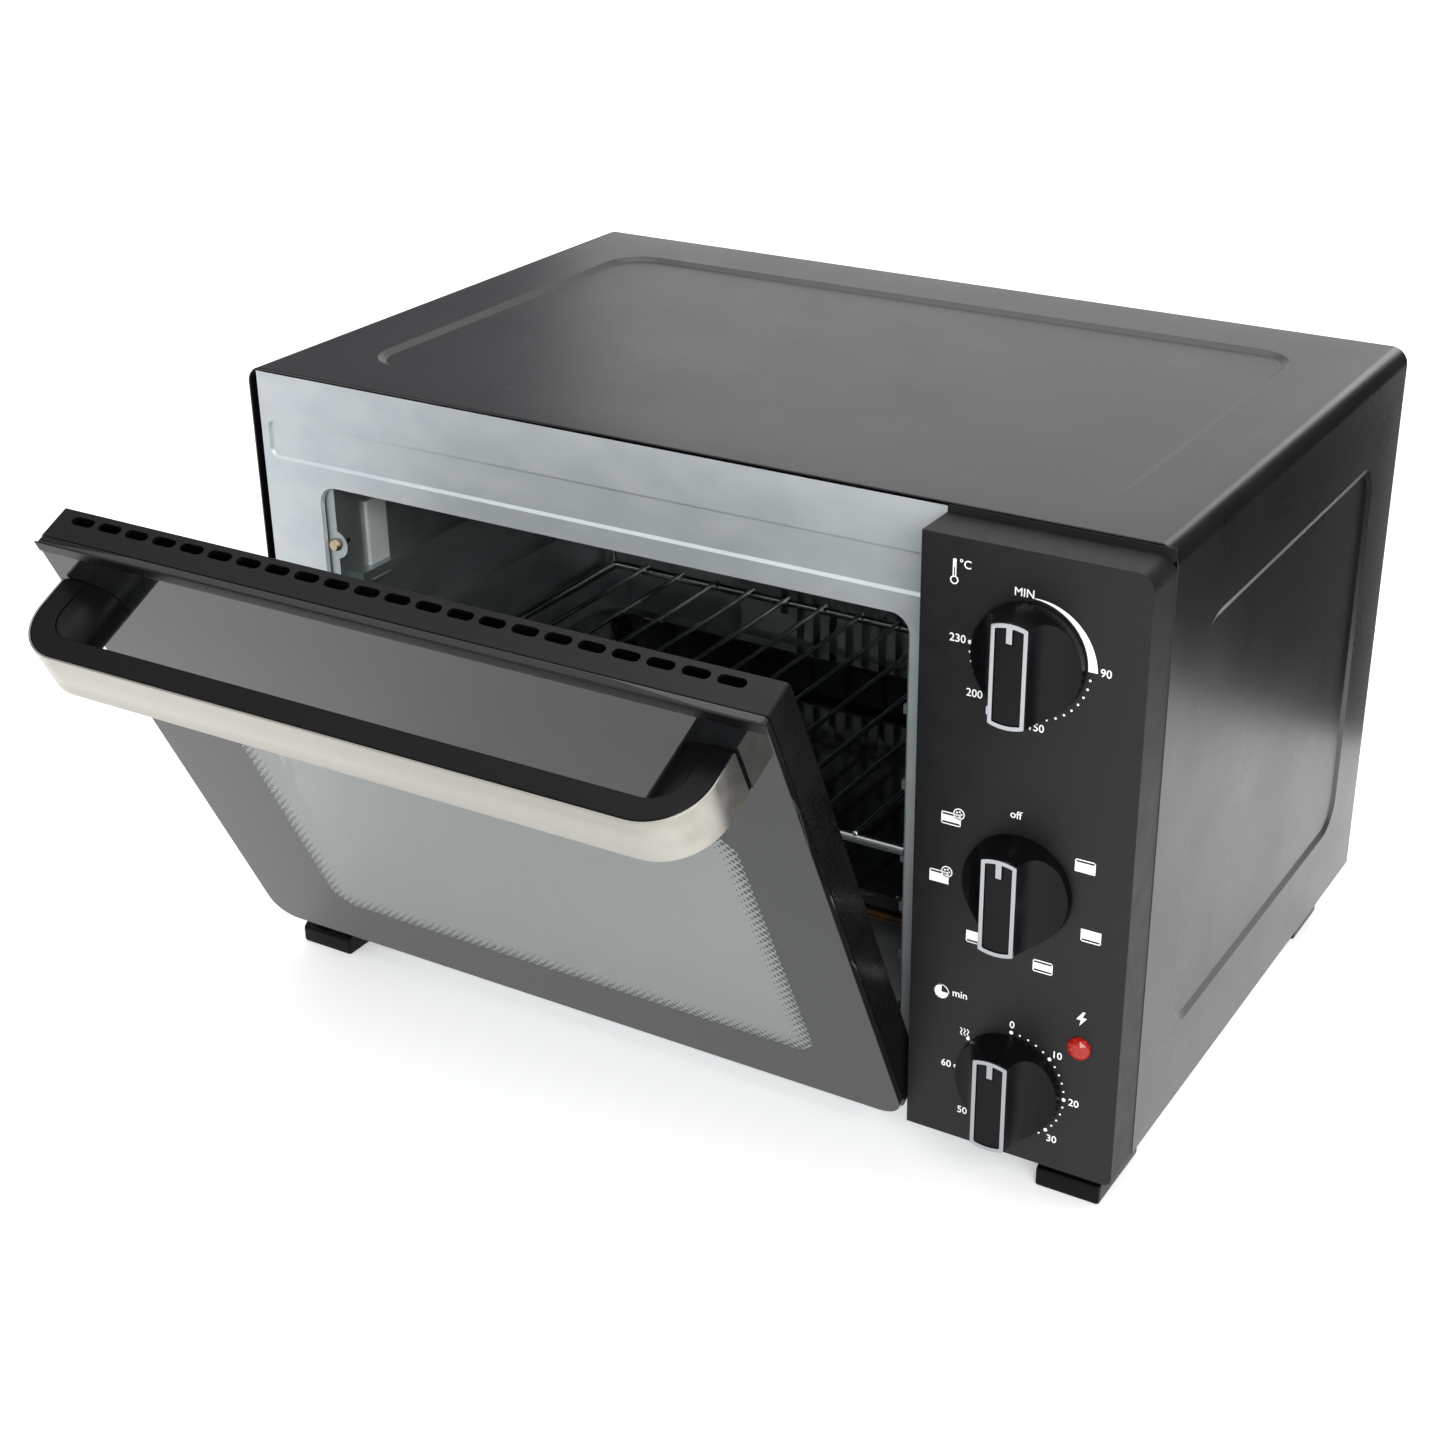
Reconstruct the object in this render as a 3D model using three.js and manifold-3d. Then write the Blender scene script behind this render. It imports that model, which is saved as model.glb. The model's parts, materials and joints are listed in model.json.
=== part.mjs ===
// A bench-top toaster oven with a drop-down glass door and three rotary controls.
// Millimetres. X runs to the right, Y to the back and Z up; the origin is on the worktop,
// under the middle of the whole object with its door ajar.
import * as THREE from "three";
import { mergeVertices } from "three/addons/utils/BufferGeometryUtils.js";
import Module from "manifold-3d";

const wasm = await Module();
wasm.setup();

// ---- Driving dimensions -------------------------------------------------------------------
const WIDTH = 500; // outer cover, side to side
const DEPTH = 320; // outer cover, front edge to back edge
const HEIGHT = 303; // outer cover, bottom edge to top
const FOOT_HEIGHT = 25; // worktop to the cover's bottom edge
const SHEET = 0.6; // steel sheet
const GAP = 0.3; // air between two pieces that touch
const SIDE = WIDTH / 2;
const COVER_RADIUS = 9;

const PANEL = { left: 144.5, right: 249.7, bottom: -3.5, top: 298.6, depth: 24.85, wall: 2.5 };
const KNOB_X = 196.6;
const THERMOSTAT_Z = 250.5;
const SELECTOR_Z = 140;
const TIMER_Z = 36.2;
const LAMP = { x: 230.1, z: 66.2, radius: 6 };

const HINGE = { y: -14, z: 0, x: [-226, 122], pinRadius: 2.5, knuckleRadius: 5 };
const DOOR = { left: -247, right: 143.3, height: 293.5, thickness: 22.1, glass: 4 };
const DOOR_FRONT = PANEL.depth + HINGE.y; // from the door's front face back to the hinge axis
const DOOR_LIFT = 2; // door's bottom edge above the hinge axis when shut
const DOOR_OPEN = THREE.MathUtils.degToRad(26);
const HANDLE = { left: -242, right: 124.5, bottom: 244.5, top: 271, reach: 45.5, bar: 12, radius: 28 };

const CAVITY = { left: -203, right: 125.5, bottom: 14, top: 252, front: 2.6, back: 266 };
const OPENING = { left: -210, right: 127.6, bottom: 14, top: 246, radius: 10 };
const GUIDE_TOPS = [65, 91.5, 118.2, 157, 196];
const GUIDE = { reach: 6.5, height: 5, front: 12, back: 246 };
const RACK = { bar: 2.5, wire: 1.5, wires: 12, front: 10, back: 243 };
const TRAY = { left: -201.5, right: 124, front: 12, back: 246, rim: 92, depth: 16, flange: 8 };
const CRUMB = { left: -188, right: 110.5, front: 16, back: 238, height: 8 };
const HEATER = { radius: 3.3, left: -185, right: 138.5, bend: 22 };
const UPPER_HEATER = { z: 236, front: 50, back: 210 };
const LOWER_HEATER = { z: 51, front: 58, back: 200 };
const FAN = { x: -38.75, z: 133 };
const GLAND = { x: 205, z: 34, radius: 9, bore: 3.6, out: 6.6 };
const BACK_PANEL_Y = 316;

// How far the pieces reach in front of and behind the cover's front edge.
const handleY = -(DOOR_FRONT + HANDLE.reach);
const handleZ = DOOR_LIFT + HANDLE.top;
const REACH_FRONT = -(HINGE.y + handleY * Math.cos(DOOR_OPEN) - handleZ * Math.sin(DOOR_OPEN));
const REACH_BACK = BACK_PANEL_Y + SHEET + GAP + GLAND.out;
const FRONT = (REACH_FRONT - REACH_BACK) / 2; // Y of the cover's front edge

// ---- Materials ----------------------------------------------------------------------------
function finish(color, roughness, metalness) {
  return new THREE.MeshStandardMaterial({ color, roughness, metalness });
}
const blackPaint = finish("#4a4b4e", 0.45, 0.3);
const galvanised = finish("#aab4b5", 0.4, 0.9);
const blackPlastic = finish("#353638", 0.5, 0);
const frameBlack = finish("#222326", 0.45, 0.1);
const chrome = finish("#dadcdd", 0.12, 1);
const brushedSteel = finish("#c8c4bb", 0.3, 1);
const smokedGlass = finish("#63666a", 0.06, 0);
const clearGlass = finish("#9fb0ae", 0.05, 0);
const enamel = finish("#17181a", 0.15, 0);
const heaterSheath = finish("#6f6a64", 0.5, 0.8);
const ceramic = finish("#e6e0d2", 0.6, 0);
const rubber = finish("#141414", 0.8, 0);
const redLens = finish("#c8281c", 0.2, 0);
const zinc = finish("#b7b9ba", 0.35, 1);

// ---- Solids -------------------------------------------------------------------------------
// Turns a closed three.js geometry into a manifold solid.
function solid(geometry) {
  const bare = geometry.clone();
  bare.deleteAttribute("normal");
  bare.deleteAttribute("uv");
  const merged = mergeVertices(bare, 1e-4);
  const vertProperties = new Float32Array(merged.attributes.position.array);
  const triVerts = new Uint32Array(merged.index.array);
  return new wasm.Manifold(new wasm.Mesh({ numProp: 3, vertProperties, triVerts }));
}

function toGeometry(body) {
  const mesh = body.getMesh();
  const geometry = new THREE.BufferGeometry();
  geometry.setAttribute("position", new THREE.BufferAttribute(mesh.vertProperties, 3));
  geometry.setIndex(new THREE.BufferAttribute(mesh.triVerts, 1));
  geometry.computeVertexNormals();
  return geometry;
}

function join(first, ...others) {
  return others.reduce((sum, other) => sum.add(other), first);
}

function cut(first, ...tools) {
  return tools.reduce((rest, tool) => rest.subtract(tool), first);
}

function box(x0, x1, y0, y1, z0, z1) {
  const geometry = new THREE.BoxGeometry(x1 - x0, y1 - y0, z1 - z0);
  geometry.translate((x0 + x1) / 2, (y0 + y1) / 2, (z0 + z1) / 2);
  return solid(geometry);
}

// Shape points are read as X,Z; the solid runs from y0 to y1.
function alongY(shape, y0, y1, curveSegments = 5) {
  const geometry = new THREE.ExtrudeGeometry(shape, { depth: y1 - y0, bevelEnabled: false, curveSegments });
  geometry.rotateX(Math.PI / 2);
  geometry.translate(0, y1, 0);
  return solid(geometry);
}

// Shape points are read as Y,Z; the solid runs from x0 to x1.
function alongX(shape, x0, x1, curveSegments = 5) {
  const geometry = new THREE.ExtrudeGeometry(shape, { depth: x1 - x0, bevelEnabled: false, curveSegments });
  const turn = new THREE.Matrix4().makeBasis(
    new THREE.Vector3(0, 1, 0),
    new THREE.Vector3(0, 0, 1),
    new THREE.Vector3(1, 0, 0),
  );
  geometry.applyMatrix4(turn);
  geometry.translate(x0, 0, 0);
  return solid(geometry);
}

// Shape points are read as X,Y; the solid runs from z0 to z1.
function alongZ(shape, z0, z1, curveSegments = 5) {
  const geometry = new THREE.ExtrudeGeometry(shape, { depth: z1 - z0, bevelEnabled: false, curveSegments });
  geometry.translate(0, 0, z0);
  return solid(geometry);
}

function cylinderY(x, z, radius, y0, y1, sides = 24, frontRadius = radius) {
  const geometry = new THREE.CylinderGeometry(radius, frontRadius, y1 - y0, sides);
  geometry.translate(x, (y0 + y1) / 2, z);
  return solid(geometry);
}

function cylinderX(y, z, radius, x0, x1, sides = 20) {
  const geometry = new THREE.CylinderGeometry(radius, radius, x1 - x0, sides);
  geometry.rotateZ(-Math.PI / 2);
  geometry.translate((x0 + x1) / 2, y, z);
  return solid(geometry);
}

function cylinderZ(x, y, radius, z0, z1, sides = 16) {
  const geometry = new THREE.CylinderGeometry(radius, radius, z1 - z0, sides);
  geometry.rotateX(Math.PI / 2);
  geometry.translate(x, y, (z0 + z1) / 2);
  return solid(geometry);
}

// Outline with one radius for the two low corners and one for the two high corners.
function rounded(u0, u1, v0, v1, low, high = low) {
  const shape = new THREE.Shape();
  const corner = (u, v, radius, start) => {
    if (radius > 0) {
      shape.absarc(u, v, radius, start, start + Math.PI / 2, false);
    }
  };
  shape.moveTo(u0 + low, v0);
  shape.lineTo(u1 - low, v0);
  corner(u1 - low, v0 + low, low, -Math.PI / 2);
  shape.lineTo(u1, v1 - high);
  corner(u1 - high, v1 - high, high, 0);
  shape.lineTo(u0 + high, v1);
  corner(u0 + high, v1 - high, high, Math.PI / 2);
  shape.lineTo(u0, v0 + low);
  corner(u0 + low, v0 + low, low, Math.PI);
  return shape;
}

function polygon(points) {
  return new THREE.Shape(points.map(([u, v]) => new THREE.Vector2(u, v)));
}

// A plateau with sloping sides, from its footprint at z0 to a top that is smaller by `slope`.
function plateau(x0, x1, y0, y1, z0, z1, slope, radius) {
  const depth = z1 - z0;
  const geometry = new THREE.ExtrudeGeometry(rounded(x0, x1, y0, y1, radius), {
    depth,
    bevelEnabled: false,
    curveSegments: 4,
  });
  const middle = [(x0 + x1) / 2, (y0 + y1) / 2];
  const shrink = [1 - (2 * slope) / (x1 - x0), 1 - (2 * slope) / (y1 - y0)];
  const position = geometry.attributes.position;
  for (let i = 0; i < position.count; i += 1) {
    if (position.getZ(i) > depth / 2) {
      position.setX(i, middle[0] + (position.getX(i) - middle[0]) * shrink[0]);
      position.setY(i, middle[1] + (position.getY(i) - middle[1]) * shrink[1]);
    }
  }
  geometry.translate(0, 0, z0);
  return solid(geometry);
}

// A round rod that follows a path.
function rod(path, radius, steps, sides = 8) {
  const shape = new THREE.Shape();
  shape.absarc(0, 0, radius, 0, Math.PI * 2, false);
  const geometry = new THREE.ExtrudeGeometry(shape, {
    extrudePath: path,
    steps,
    bevelEnabled: false,
    curveSegments: sides / 2,
  });
  return solid(geometry);
}

// ---- Scene graph --------------------------------------------------------------------------
const oven = new THREE.Group();
const body = new THREE.Group();
body.position.set(0, FRONT, FOOT_HEIGHT);
oven.add(body);

function part(parent, name, shape, material) {
  const mesh = new THREE.Mesh(toGeometry(shape), material);
  mesh.name = name;
  parent.add(mesh);
}

// ---- Casing -------------------------------------------------------------------------------
// The cover is one sheet folded over the top and down both sides, with a shallow field pressed
// inward in the top and in each side.
const FIELD_SLOPE = 4;
const TOP_FIELD = { x: 206, front: 35, back: 281, depth: 2, radius: 22 };
const SIDE_FIELD = { front: 41, back: 280, bottom: 43, top: 254, depth: 1.5, radius: 18 };

// The hollow pressed into a sheet whose outer face is at Z 0; the same shape one sheet lower is
// the field's metal.
function pressedField(u0, u1, v0, v1, depth, radius) {
  const hollow = plateau(u0, u1, v0, v1, -SHEET, depth, FIELD_SLOPE, radius).mirror([0, 0, 1]);
  return [hollow.translate([0, 0, -SHEET]), hollow];
}

function outerCover() {
  const below = -40;
  const outside = rounded(-SIDE, SIDE, below / 2, HEIGHT, 0, COVER_RADIUS);
  const inside = rounded(-SIDE + SHEET, SIDE - SHEET, below, HEIGHT - SHEET, 0, COVER_RADIUS - SHEET);
  const openBottom = box(-SIDE - 1, SIDE + 1, -1, DEPTH + 1, below, 0);
  const shell = cut(alongY(outside, 0, DEPTH), alongY(inside, -1, DEPTH + 1), openBottom);
  const { x, front, back, depth, radius } = TOP_FIELD;
  const onTop = pressedField(-x, x, front, back, depth, radius).map((shape) =>
    shape.translate([0, 0, HEIGHT]));
  const f = SIDE_FIELD;
  const onRight = pressedField(f.front, f.back, f.bottom, f.top, f.depth, f.radius).map((shape) =>
    shape.transform([0, 1, 0, 0, 0, 0, 1, 0, 1, 0, 0, 0, SIDE, 0, 0, 1]));
  const onLeft = onRight.map((shape) => shape.mirror([1, 0, 0]));
  const fields = [onTop, onRight, onLeft];
  const pressed = join(shell, ...fields.map(([metal]) => metal));
  return cut(pressed, ...fields.map(([, hollow]) => hollow));
}

const LOUVRE = { rows: 9, pitch: 9, height: 3.5 };
function louvres(x0, x1, z0, y0, y1) {
  const slots = [];
  for (let row = 0; row < LOUVRE.rows; row += 1) {
    const z = z0 + row * LOUVRE.pitch;
    slots.push(box(x0, x1, y0, y1, z, z + LOUVRE.height));
  }
  return slots;
}

function backPanel() {
  const outline = rounded(-SIDE + 2, SIDE - 2, 2.8, HEIGHT - 2, 2, 7);
  const sheet = alongY(outline, BACK_PANEL_Y, BACK_PANEL_Y + SHEET);
  const y0 = BACK_PANEL_Y - 1;
  const y1 = BACK_PANEL_Y + 3;
  const bayVents = louvres(150, 225, 185, y0, y1);
  const motorVents = louvres(-85, 10, 92, y0, y1);
  return cut(sheet, ...bayVents, ...motorVents, cylinderY(GLAND.x, GLAND.z, GLAND.radius + GAP, y0, y1));
}

const BASE_SLOT = { first: -150, pitch: 36, count: 8, length: 24, width: 4, rows: [120, 200] };
function basePlate() {
  const sheet = box(-SIDE + 2, SIDE - 2, 1.6, BACK_PANEL_Y - GAP, SHEET, SHEET * 2);
  const slots = [];
  for (let i = 0; i < BASE_SLOT.count; i += 1) {
    const x = BASE_SLOT.first + i * BASE_SLOT.pitch;
    BASE_SLOT.rows.forEach((y) => {
      slots.push(box(x, x + BASE_SLOT.length, y, y + BASE_SLOT.width, 0, 4));
    });
  }
  return cut(sheet, ...slots);
}

// Galvanised front of the chassis: it frames the cavity's mouth and carries the controls.
function frontPlate() {
  const sheet = alongY(rounded(-244.5, 244.5, 2.8, 301, 2, 8), 0, 1);
  const { left, right, bottom, top, radius } = OPENING;
  const mouth = alongY(rounded(left, right, bottom, top, radius), -1, 3);
  const channelBack = box(-242, 150, 0.8, 2.3, 254, 279);
  const channel = box(-240, 148, -1, 1.3, 256, 277);
  const holes = [THERMOSTAT_Z, SELECTOR_Z, TIMER_Z].map((z) => cylinderY(KNOB_X, z, 5, -1, 3, 16));
  const lampHole = cylinderY(LAMP.x, LAMP.z, LAMP.radius + 1, -1, 3, 16);
  return cut(join(sheet, channelBack), mouth, channel, ...holes, lampHole);
}

function controlPanel() {
  const outer = new THREE.Shape();
  const big = 8;
  const small = 4;
  outer.moveTo(PANEL.left, PANEL.bottom);
  outer.lineTo(PANEL.right - small, PANEL.bottom);
  outer.absarc(PANEL.right - small, PANEL.bottom + small, small, -Math.PI / 2, 0, false);
  outer.lineTo(PANEL.right, PANEL.top - big);
  outer.absarc(PANEL.right - big, PANEL.top - big, big, 0, Math.PI / 2, false);
  outer.lineTo(PANEL.left, PANEL.top);
  const wall = PANEL.wall;
  const pocket = rounded(PANEL.left + wall, PANEL.right - wall, PANEL.bottom + wall, PANEL.top - wall, 2, 6);
  const block = alongY(outer, -PANEL.depth, -GAP);
  const holes = [THERMOSTAT_Z, SELECTOR_Z, TIMER_Z].map((z) => cylinderY(KNOB_X, z, 5, -40, 0, 16));
  const lampHole = cylinderY(LAMP.x, LAMP.z, LAMP.radius - 0.7, -40, 0, 20);
  return cut(block, alongY(pocket, -PANEL.depth + wall, 2), ...holes, lampHole);
}

// A wedge-fronted moulded foot; its sloping front leaves room for the door to swing down.
function foot(x, front, back, slopes) {
  const half = 16.5;
  const top = SHEET - GAP;
  const points = [[front, -FOOT_HEIGHT], [back, -FOOT_HEIGHT], [back, top]];
  if (slopes) {
    points.push([front + 24, top], [front, -15.5]);
  } else {
    points.push([front, top]);
  }
  return alongX(polygon(points), x - half, x + half);
}

function cordGland() {
  const y = BACK_PANEL_Y;
  const inner = cylinderY(GLAND.x, GLAND.z, GLAND.radius + 3, y - 6, y - GAP);
  const neck = cylinderY(GLAND.x, GLAND.z, GLAND.radius, y - 1, y + SHEET + 1);
  const seat = y + SHEET + GAP;
  const flange = cylinderY(GLAND.x, GLAND.z, GLAND.radius + 4, seat, seat + GLAND.out);
  const bore = cylinderY(GLAND.x, GLAND.z, GLAND.bore, y - 10, y + 20, 16);
  return cut(join(inner, neck, flange), bore);
}

part(body, "outer_cover", outerCover(), blackPaint);
part(body, "back_panel", backPanel(), galvanised);
part(body, "base_plate", basePlate(), galvanised);
part(body, "front_plate", frontPlate(), galvanised);
part(body, "control_panel", controlPanel(), blackPlastic);
part(body, "foot_front_left", foot(-224, -14, 34, true), rubber);
part(body, "foot_front_right", foot(224, -14, 34, true), rubber);
part(body, "foot_rear_left", foot(-224, 262, 300, false), rubber);
part(body, "foot_rear_right", foot(224, 262, 300, false), rubber);
part(body, "cord_gland", cordGland(), rubber);

// ---- Cavity -------------------------------------------------------------------------------
const LINER_SCREW = { x: -204.5, z: 214 };

// Each side wall is a pressed sheet with ribs that carry the rack and the trays.
function cavityWall(side) {
  const inner = side < 0 ? CAVITY.left : CAVITY.right;
  const outer = inner + side * SHEET;
  const { front, back } = CAVITY;
  const bottom = CAVITY.bottom - 2;
  const top = CAVITY.top + 3;
  const span = (u0, u1, ...rest) => box(Math.min(u0, u1), Math.max(u0, u1), ...rest);
  const sheet = span(inner, outer, front, back, bottom, top);
  const flange = span(inner, inner + side * 12, front, front + SHEET, bottom, top);
  const ribs = GUIDE_TOPS.map((z) => {
    const ribInner = inner - side * GUIDE.reach;
    return span(ribInner, inner + side * 0.5, GUIDE.front, GUIDE.back, z - GUIDE.height, z);
  });
  return join(sheet, flange, ...ribs);
}

function leftWall() {
  const { x, z } = LINER_SCREW;
  const tab = cylinderY(x, z, 7.5, CAVITY.front, CAVITY.front + SHEET, 16);
  return cut(join(cavityWall(-1), tab), cylinderY(x, z, 2, 0, 12, 12));
}

function rodHoles(heater) {
  return [heater.front, heater.back].map((y) => cylinderX(y, heater.z, HEATER.radius + 1, 115, 150, 12));
}

const BULB = { x: 117, z: 222, wallY: 60 };

function rightWall() {
  const capillaryHole = cylinderX(BULB.wallY, BULB.z, 2.5, 110, 150, 12);
  return cut(cavityWall(1), ...rodHoles(UPPER_HEATER), ...rodHoles(LOWER_HEATER), capillaryHole);
}

function linerScrew() {
  const { x, z } = LINER_SCREW;
  const head = cylinderY(x, z, 3.6, CAVITY.front - GAP - 2, CAVITY.front - GAP, 14, 2.6);
  return join(head, cylinderY(x, z, 1.6, CAVITY.front - 1, CAVITY.front + 8, 10));
}

const inside = [CAVITY.left + GAP, CAVITY.right - GAP];
part(body, "cavity_wall_left", leftWall(), galvanised);
part(body, "cavity_wall_right", rightWall(), galvanised);
const slab = (z0, z1) => box(...inside, CAVITY.front, CAVITY.back, z0, z1);
part(body, "cavity_top", slab(CAVITY.top, CAVITY.top + SHEET), galvanised);
part(body, "cavity_floor", slab(CAVITY.bottom - SHEET, CAVITY.bottom), galvanised);
const backWall = box(...inside, CAVITY.back - SHEET, CAVITY.back, CAVITY.bottom + GAP, CAVITY.top - GAP);
part(body, "cavity_back", cut(backWall, cylinderY(FAN.x, FAN.z, 5, 250, 270, 16)), galvanised);
part(body, "liner_screw_left", linerScrew(), zinc);

// Heat shield between the cavity and the control bay.
function bayShield() {
  const sheet = box(139, 140, CAVITY.front, 314, 4, 299);
  return cut(sheet, cylinderX(BULB.wallY, BULB.z, 3, 130, 150, 12));
}
part(body, "bay_shield", bayShield(), galvanised);

// ---- Heating elements ---------------------------------------------------------------------
// Flat U in the plane z: in from the right near the front, round the left end, back out.
class HeaterPath extends THREE.Curve {
  constructor(heater) {
    super();
    const bend = HEATER.bend;
    const run = HEATER.right - HEATER.left - bend;
    const across = heater.back - heater.front - 2 * bend;
    this.heater = heater;
    this.lengths = [run, (bend * Math.PI) / 2, across, (bend * Math.PI) / 2, run];
    this.total = this.lengths.reduce((sum, length) => sum + length, 0);
  }

  getPoint(t) {
    const { front, back, z } = this.heater;
    const bend = HEATER.bend;
    const x = HEATER.left + bend;
    let s = t * this.total;
    let piece = 0;
    while (piece < 4 && s > this.lengths[piece]) {
      s -= this.lengths[piece];
      piece += 1;
    }
    const angle = s / bend;
    if (piece === 0) {
      return new THREE.Vector3(HEATER.right - s, front, z);
    }
    if (piece === 1) {
      return new THREE.Vector3(x - bend * Math.sin(angle), front + bend - bend * Math.cos(angle), z);
    }
    if (piece === 2) {
      return new THREE.Vector3(HEATER.left, front + bend + s, z);
    }
    if (piece === 3) {
      return new THREE.Vector3(x - bend * Math.cos(angle), back - bend + bend * Math.sin(angle), z);
    }
    return new THREE.Vector3(x + s, back, z);
  }
}

function heaterTerminal(heater) {
  const { front, back, z } = heater;
  const plate = box(CAVITY.right + SHEET + GAP, 129, front - 12, back + 12, z - 9, z + 9);
  const posts = [heater.front, heater.back].map((y) => cylinderX(y, heater.z, 7, 128.5, 137, 16));
  return cut(join(plate, ...posts), ...rodHoles(heater));
}

part(body, "heater_upper", rod(new HeaterPath(UPPER_HEATER), HEATER.radius, 46, 6), heaterSheath);
part(body, "heater_lower", rod(new HeaterPath(LOWER_HEATER), HEATER.radius, 46, 6), heaterSheath);
part(body, "heater_terminal_upper", heaterTerminal(UPPER_HEATER), ceramic);
part(body, "heater_terminal_lower", heaterTerminal(LOWER_HEATER), ceramic);

// ---- Convection fan -----------------------------------------------------------------------
const FAN_COVER = { half: 74, front: 251, radius: 16, slotPitch: 11, slotCircle: 50 };

function fanCover() {
  const { half, front, radius, slotPitch, slotCircle } = FAN_COVER;
  const y1 = CAVITY.back - SHEET - GAP;
  const square = (h, r) => rounded(FAN.x - h, FAN.x + h, FAN.z - h, FAN.z + h, r);
  const outer = alongY(square(half, radius), front, y1);
  const inner = alongY(square(half - SHEET, radius - SHEET), front + SHEET, y1 + 5);
  const slots = [];
  for (let i = -4; i <= 4; i += 1) {
    const across = i * slotPitch;
    const reach = Math.sqrt(slotCircle ** 2 - across ** 2);
    const x = FAN.x + across;
    slots.push(box(x - 2.5, x + 2.5, front - 1, front + 3, FAN.z - reach, FAN.z + reach));
  }
  return cut(outer, inner, ...slots);
}

function fanBlade() {
  const hub = cylinderY(FAN.x, FAN.z, 9, 254.5, 262, 20);
  const disc = cylinderY(FAN.x, FAN.z, 24, 261, 262.2, 24);
  let fan = join(hub, disc);
  for (let i = 0; i < 6; i += 1) {
    const blade = new THREE.BoxGeometry(32, 7, 1.2);
    blade.rotateX(0.6);
    blade.translate(35.5, 258.6, 0);
    const turn = new THREE.Matrix4().makeRotationY((i * Math.PI) / 3);
    blade.applyMatrix4(turn);
    blade.translate(FAN.x, 0, FAN.z);
    const arm = new THREE.BoxGeometry(14, 1.2, 10);
    arm.translate(20, 261.6, 0);
    arm.applyMatrix4(turn);
    arm.translate(FAN.x, 0, FAN.z);
    fan = join(fan, solid(blade), solid(arm));
  }
  return cut(fan, cylinderY(FAN.x, FAN.z, 2.5 + GAP, 250, 270, 16));
}

function fanMotor() {
  const can = cylinderY(FAN.x, FAN.z, 31, CAVITY.back + 3, 300, 32);
  const plate = box(FAN.x - 45, FAN.x + 45, CAVITY.back + GAP, CAVITY.back + 3.5, FAN.z - 12, FAN.z + 12);
  return cut(join(can, plate), cylinderY(FAN.x, FAN.z, 2.5 + GAP, 250, 296, 16));
}

part(body, "fan_cover", fanCover(), galvanised);
part(body, "fan_motor", fanMotor(), zinc);
part(body, "fan_blade", fanBlade(), zinc);
part(body, "fan_shaft", cylinderY(FAN.x, FAN.z, 2.5, 253.5, 295, 16), zinc);

// ---- Controls -----------------------------------------------------------------------------
const UNIT_FRONT = 1 + GAP;
const shaftBore = (z) => cylinderY(KNOB_X, z, 3.4, -5, 18, 12);

function thermostat() {
  const z = THERMOSTAT_Z;
  const can = box(KNOB_X - 20, KNOB_X + 20, UNIT_FRONT, 27, z - 20, z + 20);
  const contacts = box(KNOB_X - 14, KNOB_X + 14, 26.5, 38, z - 12, z + 12);
  return cut(join(can, contacts), shaftBore(z));
}

// Bulb in the cavity and the capillary tube that joins it to the thermostat.
function thermostatBulb() {
  const route = new THREE.CatmullRomCurve3([
    new THREE.Vector3(BULB.x, 100, BULB.z),
    new THREE.Vector3(BULB.x + 1, 78, BULB.z),
    new THREE.Vector3(BULB.x + 6, BULB.wallY + 2, BULB.z),
    new THREE.Vector3(CAVITY.right + 4, BULB.wallY, BULB.z),
    new THREE.Vector3(144, BULB.wallY, BULB.z),
    new THREE.Vector3(160, 56, BULB.z + 8),
    new THREE.Vector3(172, 48, 240),
    new THREE.Vector3(186, 44, 250),
    new THREE.Vector3(196, 40.5, 250),
  ]);
  return join(rod(route, 1.1, 24, 6), cylinderY(BULB.x, BULB.z, 2.6, 98, 180, 12));
}

function selectorSwitch() {
  const z = SELECTOR_Z;
  const can = cylinderY(KNOB_X, z, 21, UNIT_FRONT, 30, 28);
  const contacts = box(KNOB_X - 17, KNOB_X + 17, 29.5, 42, z - 10, z + 10);
  return cut(join(can, contacts), shaftBore(z));
}

function timer() {
  const z = TIMER_Z;
  return cut(box(KNOB_X - 26, KNOB_X + 26, UNIT_FRONT, 36, z - 26, z + 26), shaftBore(z));
}

function timerBell() {
  const y = 36 + GAP;
  const dome = new THREE.LatheGeometry(
    [[0, 0], [4, 0], [4, 5], [19, 7], [23, 13], [22, 13], [18.4, 8.2], [0, 6.2]].map(([r, h]) =>
      new THREE.Vector2(r, h)),
    24,
  );
  dome.translate(KNOB_X, y, TIMER_Z);
  return solid(dome);
}

function lampLens() {
  const y = -PANEL.depth;
  const stem = cylinderY(LAMP.x, LAMP.z, LAMP.radius - 1, y - 0.5, y + 4, 20);
  const rim = cylinderY(LAMP.x, LAMP.z, LAMP.radius, y - GAP - 2, y - GAP, 20);
  const dome = cylinderY(LAMP.x, LAMP.z, LAMP.radius, y - GAP - 4.2, y - GAP - 1.9, 20, 3.2);
  return join(rim, dome, stem);
}

part(body, "thermostat", thermostat(), zinc);
part(body, "thermostat_bulb", thermostatBulb(), brushedSteel);
part(body, "selector_switch", selectorSwitch(), ceramic);
part(body, "timer", timer(), zinc);
part(body, "timer_bell", timerBell(), zinc);
part(body, "lamp_lens", lampLens(), redLens);
part(body, "lamp_holder", cylinderY(LAMP.x, LAMP.z, 5, -PANEL.depth + 4 + GAP, 12, 16), ceramic);

// ---- Knobs --------------------------------------------------------------------------------
// Each knob is a round skirt with a tall grip bar across it. The flanks are scooped out from
// the bar down to the skirt's rim. Local Y is 0 on the panel and negative towards the user.
const KNOB = { base: 26, front: 24.1, bar: 8.5, height: 20.7, rim: 4.5, clearance: 0.6 };
const TRIM = { back: 21, front: 22.3, width: 2.1 };

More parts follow.
